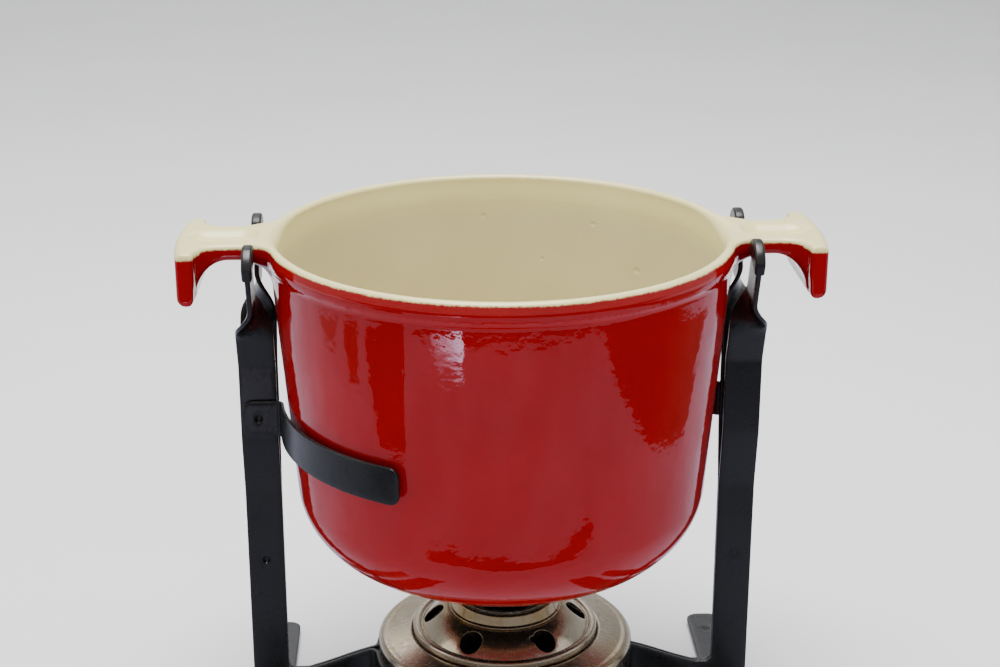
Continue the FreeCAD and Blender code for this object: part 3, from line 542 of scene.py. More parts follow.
def surface_net(distance, lo, hi, cell):
    """A quad mesh of the zero surface of a distance, with every vertex drawn onto the surface."""
    counts = [int(math.ceil((b - a) / cell)) + 1 for a, b in zip(lo, hi)]
    axes = [a + cell * np.arange(n) for a, n in zip(lo, counts)]
    grid = np.empty(counts, np.float32)
    for i, x in enumerate(axes[0]):
        yy, zz = np.meshgrid(axes[1], axes[2], indexing="ij")
        grid[i] = distance(np.full_like(yy, x), yy, zz)
    inside_grid = grid < 0
    corners = np.zeros([n - 1 for n in counts], np.int8)
    for dx in (0, 1):
        for dy in (0, 1):
            for dz in (0, 1):
                corners += inside_grid[dx:counts[0] - 1 + dx, dy:counts[1] - 1 + dy, dz:counts[2] - 1 + dz]
    active = (corners > 0) & (corners < 8)
    index = np.full(corners.shape, -1, np.int64)
    index[active] = np.arange(active.sum())
    cells = np.argwhere(active)
    total = np.zeros((len(cells), 3))
    weight = np.zeros(len(cells))
    for axis in range(3):
        others = [a for a in range(3) if a != axis]
        for u in (0, 1):
            for v in (0, 1):
                offset = np.zeros(3, int)
                offset[others[0]], offset[others[1]] = u, v
                a = cells + offset
                step = np.zeros(3, int)
                step[axis] = 1
                b = a + step
                ga, gb = grid[tuple(a.T)], grid[tuple(b.T)]
                hit = (ga < 0) != (gb < 0)
                share = np.where(hit, ga / np.where(hit, ga - gb, 1), 0)
                total[hit] += (a + share[:, None] * step)[hit]
                weight[hit] += 1
    points = np.array(lo) + total / weight[:, None] * cell
    for _ in range(4):
        value, slope = gradient(distance, points)
        points -= slope * (value / np.maximum((slope ** 2).sum(1), 0.25))[:, None]
    quads = []
    for axis in range(3):
        o1, o2 = (axis + 1) % 3, (axis + 2) % 3
        a = [slice(None)] * 3
        b = [slice(None)] * 3
        a[axis], b[axis] = slice(0, -1), slice(1, None)
        change = inside_grid[tuple(a)] != inside_grid[tuple(b)]
        spots = np.argwhere(change)
        spots = spots[(spots[:, o1] > 0) & (spots[:, o2] > 0)]
        spots = spots[(spots[:, o1] < counts[o1] - 1) & (spots[:, o2] < counts[o2] - 1)]
        ring = []
        for d1, d2 in ((-1, -1), (0, -1), (0, 0), (-1, 0)):
            c = spots.copy()
            c[:, o1] += d1
            c[:, o2] += d2
            ring.append(index[tuple(c.T)])
        quad = np.stack(ring, 1)
        leaving = inside_grid[tuple(spots.T)]
        quad[~leaving] = quad[~leaving][:, ::-1]
        quads.append(quad)
    return points, np.concatenate(quads)


def gradient(distance, points, reach=0.02):
    """Value and slope of a distance at each point."""
    x, y, z = points.T
    value = distance(x, y, z)
    slope = np.stack([
        distance(x + reach, y, z) - distance(x - reach, y, z),
        distance(x, y + reach, z) - distance(x, y - reach, z),
        distance(x, y, z + reach) - distance(x, y, z - reach),
    ], 1) / (2 * reach)
    return value, slope


ALL_CREAM, NOT_HERE = 6.0, -6.0


def cream_share(points):
    """How far each point is on the cream side of the boundary between the two enamels."""
    x, y, z = points.T
    r, far = np.hypot(x, y), np.abs(x)
    cavity = vessel_distance(x, y, z)[2]
    share = z - 214.75 + np.clip((r - 96.0) / 6.0, 0, 1) * 0.9
    share = np.where(far > 118.0, z - 213.0, share)
    share = np.where((r < 91.0) & (z > 204.0), ALL_CREAM, share)
    share = np.where((np.abs(y) < DISH_RADIUS) & (z > 211.5) & (far < 124.0), ALL_CREAM, share)
    return np.where((cavity < 0.6) & (z < 213.5), ALL_CREAM, share)


def make_pot():
    """The casting's surface, with the shares of cream enamel, near-black base and bare metal at each point.
    """
    cell = 1.15
    points, quads = surface_net(pot_distance, (-131.0, -96.0, 75.5), (131.0, 96.0, 218.0), cell)
    r, z = np.hypot(points[:, 0], points[:, 1]), points[:, 2]
    dark_base = np.where(z < BASE_Z + 3.0, RING_INNER - 0.4 - r, NOT_HERE)
    ring_middle = (RING_INNER + RING_OUTER) / 2
    on_ring = (z < BASE_Z - 1.0) & (r > RING_INNER - 2.0)
    bare = np.where(on_ring, 1.4 - np.abs(r - ring_middle), NOT_HERE)
    obj = add_piece("pot_casting", points, quads.tolist(), ENAMEL, "pot", ["pot"], sharp=0,
                    extra=[("cream", cream_share(points)), ("dark_base", dark_base), ("bare", bare)])
    _, slope = gradient(pot_distance, points)
    normals = slope / np.linalg.norm(slope, axis=1)[:, None]
    obj.data.normals_split_custom_set_from_vertices(normals.tolist())


# ---- stand

WIDTH, GAUGE = 15.0, 2.0
LEAN = math.radians(21.0)
TWIST_LOW, TWIST_HIGH = 174.5, 194.0
HOOP = 53.0
LEG_EDGE = LEG_X - WIDTH / 2
FOOT_Z = PAD_HEIGHT + GAUGE / 2
PRONG_TOP_Z, PRONG_CROWN = 216.6, 4.125
BAR_LOW, BAR_HIGH = 6.0, 21.0
PAD_REACH = 60.0
RIVET, LEG_RIVET_Z, ARM_RIVET_Z = 1.9, 73.6, 140.0


def leg_path():
    """Middle line of a leg seen from the side (y, z), from the foot's end to the prong's end."""
    spread = -5.5
    top_y = spread - (PRONG_TOP_Z - 162.0) * math.tan(LEAN)
    path = Path([
        (-FOOT_REACH, FOOT_Z, 0), (-1.0, FOOT_Z, 3.0), (-1.0, 105.0, 14.0), (spread, 130.0, 14.0),
        (spread, 162.0, 6.0), (top_y, PRONG_TOP_Z, 0),
    ])
    start = path.find(1, 60.0)
    return path, 60.0 - start


LEG, LEG_SHIFT = leg_path()
LEG_END = LEG.length + LEG_SHIFT


def leg_v(height):
    """Flat coordinate of a height on the leg."""
    return LEG.find(1, height) + LEG_SHIFT


TWIST_A, TWIST_B = leg_v(TWIST_LOW), leg_v(TWIST_HIGH)


def bar_path():
    """Middle line of the crossbar seen from above, from the left leg to the right leg."""
    fillet = 4.0
    depth = -GAUGE / 2
    centre = np.array([-math.sqrt((HOOP + fillet) ** 2 - (depth - fillet) ** 2), depth - fillet])
    touch = centre * HOOP / (HOOP + fillet)
    first = math.atan2(-touch[1], -touch[0])
    left = [(-LEG_EDGE, depth)]
    start = math.pi / 2
    end = math.atan2(*(touch - centre)[::-1])
    for k in range(13):
        a = start + (end - start) * k / 12
        left.append((centre[0] + fillet * math.cos(a), centre[1] + fillet * math.sin(a)))
    hoop = []
    for k in range(1, 97):
        a = math.pi + first + (math.pi - 2 * first) * k / 96
        hoop.append((HOOP * math.cos(a), HOOP * math.sin(a)))
    right = [(-x, y) for x, y in reversed(left)]
    return Path([(x, y, 0) for x, y in left + hoop + right])


BAR = bar_path()
HALF_BAR = BAR.length / 2
LEG_U = HALF_BAR + WIDTH / 2


def bar_rise(x, base):
    """Height of a crossbar edge that climbs from the leg to the hoop."""
    share = np.clip((83.0 - np.abs(x)) / 27.0, 0, 1)
    soft = share - 0.015 * np.sin(2 * math.pi * share)
    return base + 9.0 * soft


def place_frame(flat, lift):
    """Put flat points of a frame into space."""
    u, v = flat.T
    out = np.zeros((len(u), 3))
    on_leg = np.abs(u) > HALF_BAR - 1e-6
    x, y, angle = BAR.read(u + HALF_BAR)
    bar = np.stack([x + lift * np.sin(angle), y - lift * np.cos(angle), v], 1)
    out[~on_leg] = bar[~on_leg]
    side = np.sign(u)
    across_leg = u - side * LEG_U
    y, z, angle = LEG.read(v - LEG_SHIFT)
    share = np.clip((v - TWIST_A) / (TWIST_B - TWIST_A), 0, 1)
    turn = math.pi / 2 * (3 * share ** 2 - 2 * share ** 3)
    line = np.stack([np.zeros_like(y), np.cos(angle), np.sin(angle)], 1)
    normal = np.stack([np.zeros_like(y), np.sin(angle), -np.cos(angle)], 1)
    wide = np.stack([np.cos(turn), 0 * turn, 0 * turn], 1) - normal * (side * np.sin(turn))[:, None]
    thin = np.cross(wide, line)
    middle = np.stack([side * LEG_X, y, z], 1)
    leg = middle + wide * across_leg[:, None] + thin * lift[:, None]
    out[on_leg] = leg[on_leg]
    return out


def frame_rows():
    """Flat heights at which a leg has a row of points."""
    stretches = (
        (LEG_SHIFT, leg_v(2.62) - 1.0, 4.0), (-1.6, 6.6, 0.45), (8.0, 24.0, 2.0), (27.0, 102.0, 3.5),
        (102.0, 134.0, 1.3), (136.0, leg_v(160.0), 3.0), (leg_v(160.0), leg_v(164.0), 0.6),
        (leg_v(165.0), leg_v(173.0), 2.0), (TWIST_A - 0.5, TWIST_B + 1.0, 0.7),
        (TWIST_B + 2.5, LEG_END, 2.5),
    )
    return [row for stretch in stretches for row in np.arange(*stretch)]


def bar_columns():
    """Flat positions along the crossbar at which it has a column of points."""
    bend_start = HALF_BAR - (LEG_EDGE - 56.8)
    half = list(np.arange(0.0, bend_start - 7.0, 2.2))
    half += list(np.arange(bend_start - 7.0, bend_start + 0.8, 0.5))
    half += list(np.arange(bend_start + 2.0, HALF_BAR, 1.6))
    return sorted(set([-c for c in half] + half))


def leg_outline(rows, columns):
    """One half of the frame's outline; it is drawn for the right and mirrored for the left."""
    inner, outer = HALF_BAR, HALF_BAR + WIDTH
    foot, corner = LEG_SHIFT, 5.0
    end = LEG_END
    points = []
    bar_top = [(c, bar_rise(BAR.read(c + HALF_BAR)[0], BAR_HIGH)) for c in columns if 0 <= c < inner - 3.4]
    bar_bottom = [(c, bar_rise(BAR.read(c + HALF_BAR)[0], BAR_LOW)) for c in columns if 0 <= c < inner - 0.8]
    points += [np.array(p, float) for p in bar_bottom]
    points += list(rounded([(inner - 2.0, BAR_LOW, 0), (inner, BAR_LOW, 0.5), (inner, BAR_LOW - 2.0, 0)],
                           closed=False)[1:-1])
    points += split_line((inner, 5.2), (inner, foot + corner), rows, 1)
    points += list(rounded([(inner, foot + corner + 1, 0), (inner, foot, corner), (inner + 6, foot, 0)],
                           closed=False, step=9)[1:-1])
    points += [np.array((inner + WIDTH / 2, foot))]
    points += list(rounded([(outer - 6, foot, 0), (outer, foot, corner), (outer, foot + corner + 1, 0)],
                           closed=False, step=9)[1:-1])
    points += split_line((outer, foot + corner + 0.8), (outer, end - 3.6), rows, 1)
    middle = (inner + outer) / 2
    radius = ((WIDTH / 2) ** 2 + PRONG_CROWN ** 2) / (2 * PRONG_CROWN)
    span = math.asin(WIDTH / 2 / radius)
    for k in range(15):
        a = span - 2 * span * k / 14
        points.append(np.array((middle + radius * math.sin(a), end - radius + radius * math.cos(a))))
    points += split_line((inner, end - 4.9), (inner, BAR_HIGH + 2.6), rows, 1)
    points += list(rounded([(inner, BAR_HIGH + 5.0, 0), (inner, BAR_HIGH, 2.5), (inner - 5.0, BAR_HIGH, 0)],
                           closed=False, step=12)[1:-1])
    points += [np.array(p, float) for p in reversed(bar_top)]
    return np.array(points)


def frame_loops():
    """The flat frame's outline and holes, and the points inside them."""
    rows, columns = frame_rows(), bar_columns()
    right = leg_outline(rows, columns)
    mirrored = right[::-1] * (-1, 1)
    outer = np.concatenate([right, mirrored])
    keep = np.linalg.norm(outer - np.roll(outer, 1, 0), axis=1) > 0.02
    outer = outer[keep]
    holes = [circle(side * LEG_U, LEG_RIVET_Z, RIVET) for side in (-1, 1)]
    holes += [circle(-LEG_U, leg_v(ARM_RIVET_Z), RIVET)]
    pin_v = LEG.find(0, -PAD_REACH) + LEG_SHIFT
    holes += [circle(side * LEG_U, pin_v, RIVET) for side in (-1, 1)]
    lattice = [(side * LEG_U + a, v) for side in (-1, 1) for v in rows for a in (-5.2, -2.6, 0, 2.6, 5.2)]
    for c in columns:
        x = BAR.read(c + HALF_BAR)[0]
        lattice += [(c, bar_rise(x, BAR_LOW) + b) for b in (2.5, 5.8, 9.2, 12.5)]
    return [outer] + holes, np.array(lattice, float)


def half_turned(points):
    return points * (-1, -1, 1)


def add_strips(name, points, faces, node):
    """A strip piece at the front and the same one, turned half a turn, at the back."""
    for side, where in (("front", points), ("back", half_turned(points))):
        add_piece(f"{side}_{name}", where, faces, PAINT, "stand", [f"{side}_{node}"])


def make_frames():
    loops, lattice = frame_loops()
    roundings = [0.5] + [0.12] * (len(loops) - 1)
    points, faces = slab(loops, roundings, GAUGE, lattice, place_frame)
    add_strips("strip_frame", points, faces, "frame")


def prong_space(flat, lift):
    """Put flat points (across the prong, along it) into space for the front right prong."""
    across, along = flat.T
    y, z, angle = LEG.read(np.minimum(along, LEG_END + 5) - LEG_SHIFT)
    beyond = np.maximum(along - LEG_END, 0)
    line = np.array([0, math.cos(angle[0]), math.sin(angle[0])])
    side = np.array([0, -math.sin(angle[0]), math.cos(angle[0])])
    middle = np.stack([np.full_like(y, LEG_X), y, z], 1) + line * beyond[:, None]
    return middle + side * across[:, None] + np.array([-1.0, 0, 0]) * lift[:, None]


def make_caps():
    """Moulded caps over the ends of the four prongs."""
    half, length, thick, crown = 8.2, 9.4, 4.0, 4.5
    end = LEG_END + 0.7
    start = end - length
    radius = (half ** 2 + crown ** 2) / (2 * crown)
    span = math.asin(half / radius)
    arc = [(radius * math.sin(a), end - radius + radius * math.cos(a))
           for a in np.linspace(span, -span, 21)]
    loop = [(-half, start), (-half / 2, start), (0, start), (half / 2, start), (half, start)]
    loop += [(half, start + k) for k in (1.5, 3.0)] + arc + [(-half, start + k) for k in (3.0, 1.5)]
    lattice = np.array([(a, start + b) for a in (-5, -2.5, 0, 2.5, 5)
                        for b in (1.6, 3.2, 4.8, 6.2, 7.6)], float)
    points, faces = slab([np.array(loop, float)], [0.95], thick, lattice, prong_space, steps=5)
    mirror = points * (-1, 1, 1)
    flipped = [face[::-1] for face in faces]
    for name, where, how in (
        ("front_right_cap", points, faces), ("front_left_cap", mirror, flipped),
        ("back_left_cap", half_turned(points), faces), ("back_right_cap", half_turned(mirror), flipped),
    ):
        add_piece("prong_" + name, where, how, CAP_PLASTIC, "stand", [name])


def arm_path():
    """Middle line of a guard arm seen from above."""
    face, radius, bend = -7.3, 89.8, 2.8
    depth = face - bend
    centre = np.array([-math.sqrt((radius + bend) ** 2 - depth ** 2), depth])
    touch = centre * radius / (radius + bend)
    start = math.pi / 2
    end = math.atan2(*(touch - centre)[::-1])
    first = math.atan2(touch[1], touch[0]) % (2 * math.pi)
    last = math.pi + math.radians(62.5)
    points = [(-105.5, face)]
    points += [(centre[0] + bend * math.cos(a), centre[1] + bend * math.sin(a))
               for a in np.linspace(start, end, 14)]
    points += [(radius * math.cos(a), radius * math.sin(a)) for a in np.linspace(first, last, 60)[1:]]
    return Path([(x, y, 0) for x, y in points]), centre


def make_arms():
    """The guard arms: flat strips bent round the pot, each riveted to a leg."""
    path, centre = arm_path()
    base, height = 132.5, 15.0
    bend_at = path.find(0, centre[0])
    columns = list(np.arange(6.0, bend_at, 1.5)) + list(np.arange(bend_at, bend_at + 5.0, 0.45))
    columns += list(np.arange(bend_at + 6.0, path.length - 4.5, 2.0))
    end = path.length
    loop = []
    corner = rounded([(0, 0, 4.5), (end, 0, 4.0), (end, height, 4.0), (0, height, 4.5)], step=9)
    for i, point in enumerate(corner):
        after = corner[(i + 1) % len(corner)]
        if abs(after[0] - point[0]) > 10:
            loop += split_line(point, after, columns, 0)
        else:
            loop.append(point)
    loop = np.array(loop) + (0, base)
    lattice = np.array([(c, base + b) for c in columns + [3.5, end - 3.0]
                        for b in (2.6, 5.0, 7.5, 10.0, 12.4)])
    hole = circle(6.5, ARM_RIVET_Z, RIVET)

    def place(flat, lift):
        x, y, angle = path.read(flat[:, 0])
        return np.stack([x + lift * np.sin(angle), y - lift * np.cos(angle), flat[:, 1]], 1)

    points, faces = slab([loop, hole], [0.45, 0.12], 1.6, lattice, place)
    add_strips("guard_arm", points, faces, "arm")


def make_rivets():
    """Flush rivets: a shallow dimple in one end, a flat head on the other."""
    for name, x, y, z, length, side in (
        ("left_leg_rivet", -LEG_X, 0.0, LEG_RIVET_Z, 4.0, -1),
        ("right_leg_rivet", LEG_X, 0.0, LEG_RIVET_Z, 4.0, 1),
        ("front_arm_rivet", -LEG_X, -6.3, ARM_RIVET_Z, 3.6, -1),
        ("back_arm_rivet", LEG_X, 6.3, ARM_RIVET_Z, 3.6, 1),
    ):
        half = length / 2
        profile = rounded([(0, half - 1.1, 0), (0.95, half - 1.05, 0.4), (1.6, half - 0.02, 0.2),
                           (RIVET, half, 0.1), (RIVET, -half, 0.1), (0, -half, 0)], closed=False)
        points, faces = lathe(profile, 40, closed=False)
        faces = [face[::-1] for face in faces]
        turned = np.stack([points[:, 0], side * points[:, 2], -side * points[:, 1]], 1) + (x, y, z)
        add_piece(name + "_body", turned, faces, RIVET_PAINT, "stand", [name], sharp=45)


def make_pads():
    """Soft foot pads, each with a pin through its foot."""
    profile = rounded([
        (0, 0.35, 0), (3.6, 0.3, 0.5), (4.2, 0, 0.3), (5.0, 0, 0.5), (5.0, PAD_HEIGHT, 0.35),
        (RIVET, PAD_HEIGHT, 0.05), (RIVET, 3.55, 0.3), (0.9, 3.5, 0.4), (0, 3.1, 0),
    ], closed=False)
    points, faces = lathe(profile, 48, closed=False)
    for face, y in (("front", -PAD_REACH), ("back", PAD_REACH)):
        for side, x in (("left", -LEG_X), ("right", LEG_X)):
            name = f"{face}_{side}_foot_pad"
            add_piece(name + "_disc", points + (x, y, 0), faces, PAD_RUBBER, "stand", [name],
                      sharp=40)


# ---- burner

def turned_piece(name, corners, material, body, node, count=160):
    """A turned sheet piece from its closed, rounded outline."""
    points, faces = lathe(rounded(corners, step=12.0), count)
    add_piece(name, points + (BURNER_X, 0, 0), faces, material, body, [node])


def make_housing():
    """Flange, turned-down skirt with its inward lip, and the well."""
    turned_piece("burner_housing_shell", [
        (0, 12.6, 0), (37.6, 12.6, 4.0), (37.6, 36.4, 0.6), (40.4, 38.8, 1.2), (49.9, 37.2, 3.0),
        (53.5, 37.2, 2.2), (53.5, 30.8, 0.2), (51.1, 30.8, 0.2), (51.1, 30.0, 0.2), (54.3, 30.0, 0.7),
        (54.3, 38.0, 2.9), (49.9, 38.0, 4.0), (40.4, 39.6, 1.6), (36.8, 37.2, 0.6), (36.8, 13.4, 3.2),
        (0, 13.4, 0),
    ], STAINLESS, "burner", "burner_housing")


VENT_CIRCLE, VENT_ACROSS, VENT_DEEP = 30.3, 4.8, 4.1
DOME_INNER, DOME_OUTER = 24.4, 35.3


def cover_height(r):
    """Height of the cover's upper skin between the mouth and the raised ring."""
    share = np.clip((np.asarray(r, float) - 24.2) / (DOME_OUTER - 24.2), 0, 1)
    return 49.6 - share * (49.6 - 41.9) + 1.3 * np.sin(share * math.pi)


def vent_loop(angle, notched):
    """Outline of one vent, clockwise; it is round on the sloping dome, so a little shallower from above."""
    out = np.array([math.cos(angle), math.sin(angle)])
    across = np.array([-out[1], out[0]])
    turns = -np.linspace(0, 2 * math.pi, 72, endpoint=False)
    middle = out * VENT_CIRCLE
    loop = middle + VENT_DEEP * np.outer(np.cos(turns), out) + VENT_ACROSS * np.outer(np.sin(turns), across)
    if not notched:
        return loop
    notch, radius = middle + (-4.9, -0.9), 1.2
    cut = np.linalg.norm(loop - notch, axis=1) <= radius + 0.15
    start = [i for i in range(len(loop)) if cut[i - 1] and not cut[i]][0]
    kept = np.roll(loop, -start, 0)[:int((~cut).sum())]
    first, last = (math.atan2(*(p - notch)[::-1]) for p in (kept[-1], kept[0]))
    if last > first:
        last -= 2 * math.pi
    sweep = np.linspace(first, last, 14)[1:-1]
    return np.concatenate([kept, notch + radius * np.stack([np.cos(sweep), np.sin(sweep)], 1)])


def make_cover():
    """The domed cover: perforated dome made flat, then lifted; outer ring and inner brim turned."""
    count, skin = 144, 0.8
    loops = [circle(0, 0, DOME_OUTER, count, clockwise=False), circle(0, 0, DOME_INNER, count)]
    loops += [vent_loop(math.radians(-60 + 60 * k), k == 0) for k in range(6)]
    lattice = []
    for row, radius in enumerate(np.arange(DOME_INNER + 1.2, DOME_OUTER - 0.5, 1.25)):
        turns = (np.arange(count) + 0.5 * (row % 2)) * 2 * math.pi / count
        lattice += [(radius * math.cos(a), radius * math.sin(a)) for a in turns]

    def place(flat, lift):
        r = np.hypot(*flat.T)
        z = cover_height(r) - skin / 2
        slope = (cover_height(r + 0.05) - cover_height(r - 0.05)) / 0.1
        scale = 1 / np.sqrt(1 + slope ** 2)
        grown = (r - slope * scale * lift) / r
        return np.stack([BURNER_X + flat[:, 0] * grown, flat[:, 1] * grown, z + lift * scale], 1)

    roundings = [0.02, 0.02] + [0.22] * 6
    points, faces = slab(loops, roundings, skin, np.array(lattice), place, clear=0.6)
    add_piece("burner_cover_dome", points, faces, STAINLESS, "cover", ["burner_cover"])
    turned_piece("burner_cover_ring", [
        (35.1, 41.15, 0), (36.2, 41.0, 0.8), (36.7, 41.9, 0.8), (38.5, 41.9, 0.8), (38.6, 39.6, 0.1),
        (39.4, 39.6, 0.1), (39.4, 42.8, 1.3), (36.5, 42.8, 1.2), (35.9, 41.8, 0.6), (35.1, 42.0, 0),
    ], STAINLESS, "cover", "burner_cover")
    turned_piece("burner_cover_brim", [
        (20.0, 48.8, 0.1), (24.2, 48.8, 0.5), (24.6, 48.72, 0), (24.6, 49.55, 0), (24.2, 49.6, 0.5),
        (20.0, 49.6, 0.1),
    ], STAINLESS, "cover", "burner_cover")


def make_collar():
    """The rolled collar with its open seam: an outline swept almost all the way round."""
    profile = rounded([
        (22.6, 49.6, 0.2), (23.8, 49.6, 0.3), (23.9, 50.5, 0.4), (22.7, 50.8, 0.5), (21.5, 54.6, 0.8),
        (20.8, 55.2, 0.5), (18.2, 55.2, 0.35), (18.2, 54.4, 0.3), (20.4, 54.4, 0.4), (21.7, 50.3, 0.4),
    ], step=15)
    gap = math.radians(0.6)
    seam = math.radians(-22.0)
    turns = np.linspace(seam + gap, seam + 2 * math.pi - gap, 150)
    points = np.array([(BURNER_X + r * math.cos(a), r * math.sin(a), z) for a in turns for r, z in profile])
    size = len(profile)
    faces = [(k * size + i, k * size + (i + 1) % size, (k + 1) * size + (i + 1) % size, (k + 1) * size + i)
             for k in range(len(turns) - 1) for i in range(size)]
    faces.append(tuple(range(size))[::-1])
    last = (len(turns) - 1) * size
    faces.append(tuple(last + i for i in range(size)))
    faces = [face[::-1] for face in faces]
    add_piece("burner_collar_ring", points, faces, STAINLESS, "cover", ["burner_collar"])


def make_inside():
    """Fuel cup, wadding and the pierced mesh in the neck."""
    turned_piece("fuel_cup_shell", [
        (0, 13.4, 0), (31.0, 13.4, 2.0), (35.0, 17.4, 2.0), (35.0, 35.6, 1.2), (33.0, 37.6, 1.2),
        (16.2, 39.1, 1.4), (16.2, 54.4, 0.3), (15.4, 54.4, 0.3), (15.4, 38.3, 0.8), (32.6, 36.8, 0.6),
        (34.2, 35.4, 0.6), (34.2, 17.6, 1.6), (30.7, 14.2, 1.6), (0, 14.2, 0),
    ], CUP_STEEL, "burner", "fuel_cup", 96)
    turned_piece("fuel_wadding_pad", [
        (0, 14.6, 0), (28.6, 14.6, 2.0), (32.4, 18.6, 2.0), (32.4, 31.6, 1.5), (30.0, 33.6, 1.5),
        (0, 34.6, 0),
    ], WADDING, "burner", "fuel_wadding", 96)
    radius, pitch, hole = 15.35, 4.2, 1.3
    loops = [circle(0, 0, radius, 96, clockwise=False)]
    for row in range(-3, 4):
        for column in range(-3, 4):
            x, y = (column + 0.5 * (row % 2)) * pitch, row * pitch * math.sqrt(0.75)
            if math.hypot(x, y) + hole + 0.9 < radius:
                loops.append(circle(x, y, hole, 20))
    lattice = np.array([(a * 1.4, b * 1.4) for a in range(-11, 12) for b in range(-11, 12)], float)

    def place(flat, lift):
        return np.stack([BURNER_X + flat[:, 0], flat[:, 1], 45.3 + lift], 1)

    points, faces = slab(loops, [0.1] + [0.15] * (len(loops) - 1), 0.6, lattice, place, clear=0.5, steps=2)
    add_piece("wick_mesh_disc", points, faces, CUP_STEEL, "burner", ["wick_mesh"])


make_pot()
make_frames()
make_caps()
make_arms()
make_rivets()
make_pads()
make_housing()
make_cover()
make_collar()
make_inside()


# ---- studio

def floor_material():
    s = Shader("studio_paper")
    tone = s.mix(s.ramp(s.noise(6.0, 3.0), 0.3, 0.7), rgb(0.78, 0.78, 0.785), rgb(0.80, 0.80, 0.805))
    return s.finish(Base_Color=tone, Roughness=s.ramp(s.noise(300.0, 2.0), 0.3, 0.7, 0.75, 0.9))


def make_floor():
    """A pale paper floor that curves up into a low wall all round."""
    reach, curve, top = 3400, 900, 1500
    profile = rounded([(0, 0, 0), (reach, 0, curve), (reach, top, 0)], closed=False, step=6)
    points, faces = lathe(profile, 96, closed=False)
    faces = [face[::-1] for face in faces]
    mesh = bpy.data.meshes.new("studio_floor")
    mesh.from_pydata((points * MM).tolist(), [], faces)
    mesh.polygons.foreach_set("use_smooth", [True] * len(mesh.polygons))
    mesh.materials.append(floor_material())
    new_object("studio_floor", mesh)


def area_light(name, place, target, width, height, power):
    data = bpy.data.lights.new(name, "AREA")
    data.shape = "RECTANGLE"
    data.size, data.size_y = width, height
    data.energy = power
    light = new_object(name, data)
    light.location = place
    light.rotation_euler = (Vector(target) - Vector(place)).to_track_quat("-Z", "Y").to_euler()


def painted_reflection_card(name, outline, lift, near, far, first=-0.28, last=0.1, tint=(1, 1, 1)):
    """A flat glowing card that only shows in reflections: a painted reflection of part of the table, shaded
    from its near to its far edge."""
    name = "painted_reflection_" + name
    s = Shader(name)
    depth = s.node("SeparateXYZ", Vector=s.place).outputs[1]
    cloud = s.ramp(s.noise(9.0, 3.0), 0.3, 0.7, 0.85, 1.15)
    shade = s.times(s.ramp(depth, first, last, near, far), cloud)
    glow = s.node("Emission", Color=rgb(*tint), Strength=shade)
    s.tree.links.new(glow.outputs[0], s.output.inputs[0])
    s.material.cycles.emission_sampling = "NONE"
    mesh = bpy.data.meshes.new(name)
    mesh.from_pydata([(x, y, lift) for x, y in outline], [], [tuple(range(len(outline)))])
    mesh.materials.append(s.material)
    card = new_object(name, mesh)
    card.visible_camera = card.visible_diffuse = card.visible_shadow = False
    card.visible_transmission = card.visible_volume_scatter = False


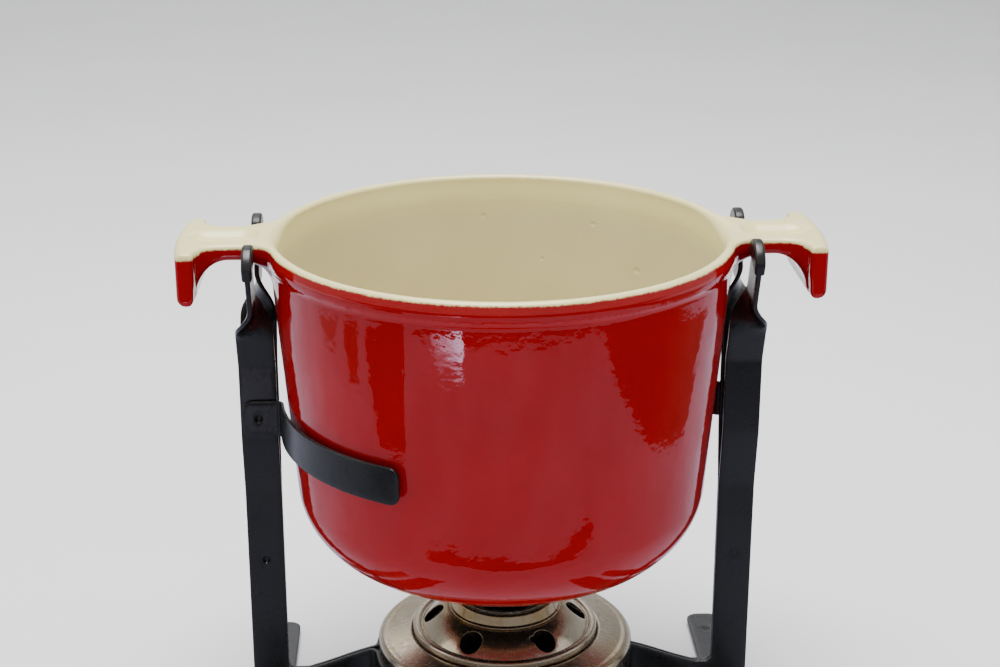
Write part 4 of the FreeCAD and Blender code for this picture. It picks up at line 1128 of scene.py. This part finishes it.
def make_painted_reflections():
    """Painted reflections of the table in the pot's front: a grey sheet, with dark things on it and past its
    edge.
    """
    sheet = [(-0.9, -0.34), (-0.33, -0.35), (-0.26, -0.38), (-0.15, -0.43), (-0.04, -0.45), (0.08, -0.45),
             (0.2, -0.41), (0.29, -0.37), (0.9, -0.35), (0.9, 0.4), (-0.9, 0.4)]
    right = [(0.29, -0.42), (0.29, -0.38), (0.33, -0.33), (0.32, -0.24), (0.33, -0.18), (0.32, -0.1),
             (0.34, 0.07), (0.45, 0.16), (0.48, 0.23), (0.6, -0.42)]
    streak = [(-0.44, -0.19), (-0.37, -0.36), (-0.29, -0.26), (-0.24, -0.22), (-0.3, -0.16), (-0.42, -0.17)]
    mark = [(-0.49, -0.08), (-0.46, -0.16), (-0.39, -0.12), (-0.4, -0.08)]
    corner = [(-0.51, 0.07), (-0.5, -0.06), (-0.45, -0.02), (-0.46, 0.02)]
    # The seam card is dark: painted shadow, the dark crescent in the pot's lower front.
    seam = [(-0.15, -0.19), (-0.11, -0.22), (-0.01, -0.24), (0.1, -0.22), (0.17, -0.21), (0.17, -0.19),
            (0.1, -0.2), (0.04, -0.19), (-0.01, -0.18), (-0.07, -0.19)]
    gleam = [(-0.27, -0.38), (-0.15, -0.44), (-0.14, -0.39), (-0.21, -0.36)]
    beyond = [(-2.5, -3.0), (2.5, -3.0), (2.5, -0.34), (-2.5, -0.34)]
    # Dark cards beside the stand: painted shadow on the table, seen in the crossbars' reflections.
    shade = [(0.062, -0.1), (0.085, -0.085), (0.088, 0.09), (0.062, 0.09)]
    painted_reflection_card("beyond", beyond, 0.0008, 0.03, 0.04)
    painted_reflection_card("sheet", sheet, 0.001, 0.52, 1.0, -0.12, 0.35, (0.92, 0.95, 1.2))
    for name, outline, near, far in (
        ("right", right, 0.03, 0.12), ("streak", streak[::-1], 0.03, 0.05), ("mark", mark, 0.1, 0.15),
        ("corner", corner, 0.1, 0.3), ("seam", seam[::-1], 0.02, 0.02), ("shade_right", shade, 0.03, 0.05),
        ("shade_left", [(-x, y) for x, y in shade[::-1]], 0.03, 0.05),
    ):
        painted_reflection_card(name, outline, 0.0015, near, far)
    # The gleam card glows brightly: a painted highlight of a window in the pot's wall.
    painted_reflection_card("gleam", gleam, 0.002, 14.0, 1.5, -0.44, -0.37, (0.95, 0.87, 1.2))


def make_studio():
    make_floor()
    make_painted_reflections()
    world = bpy.data.worlds.new("studio")
    bpy.context.scene.world = world
    world.use_nodes = True
    background = world.node_tree.nodes["Background"]
    background.inputs["Color"].default_value = (0.95, 0.97, 1.0, 1)
    background.inputs["Strength"].default_value = 0.45
    area_light("top_softbox", (-0.05, 0.02, 1.6), (0.0, 0.02, 0), 1.2, 0.9, 57)
    area_light("back_softbox", (-0.3, 2.3, 1.6), (-0.3, 2.3, 0), 1.6, 0.8, 10)
    area_light("left_softbox", (-1.6, 0.1, 1.0), (0, 0, 0.1), 0.8, 0.8, 3.7)
    area_light("right_softbox", (1.6, 0.1, 1.0), (0, 0, 0.1), 0.8, 0.8, 1.8)


def make_camera():
    data = bpy.data.cameras.new("camera")
    data.lens, data.sensor_width = 66.6, 36.0
    camera = new_object("camera", data)
    camera.location = (-0.0315, -0.7107, 0.4203)
    camera.rotation_euler = (math.radians(70.8), 0, math.radians(-2.5))
    bpy.context.scene.camera = camera


make_studio()
make_camera()
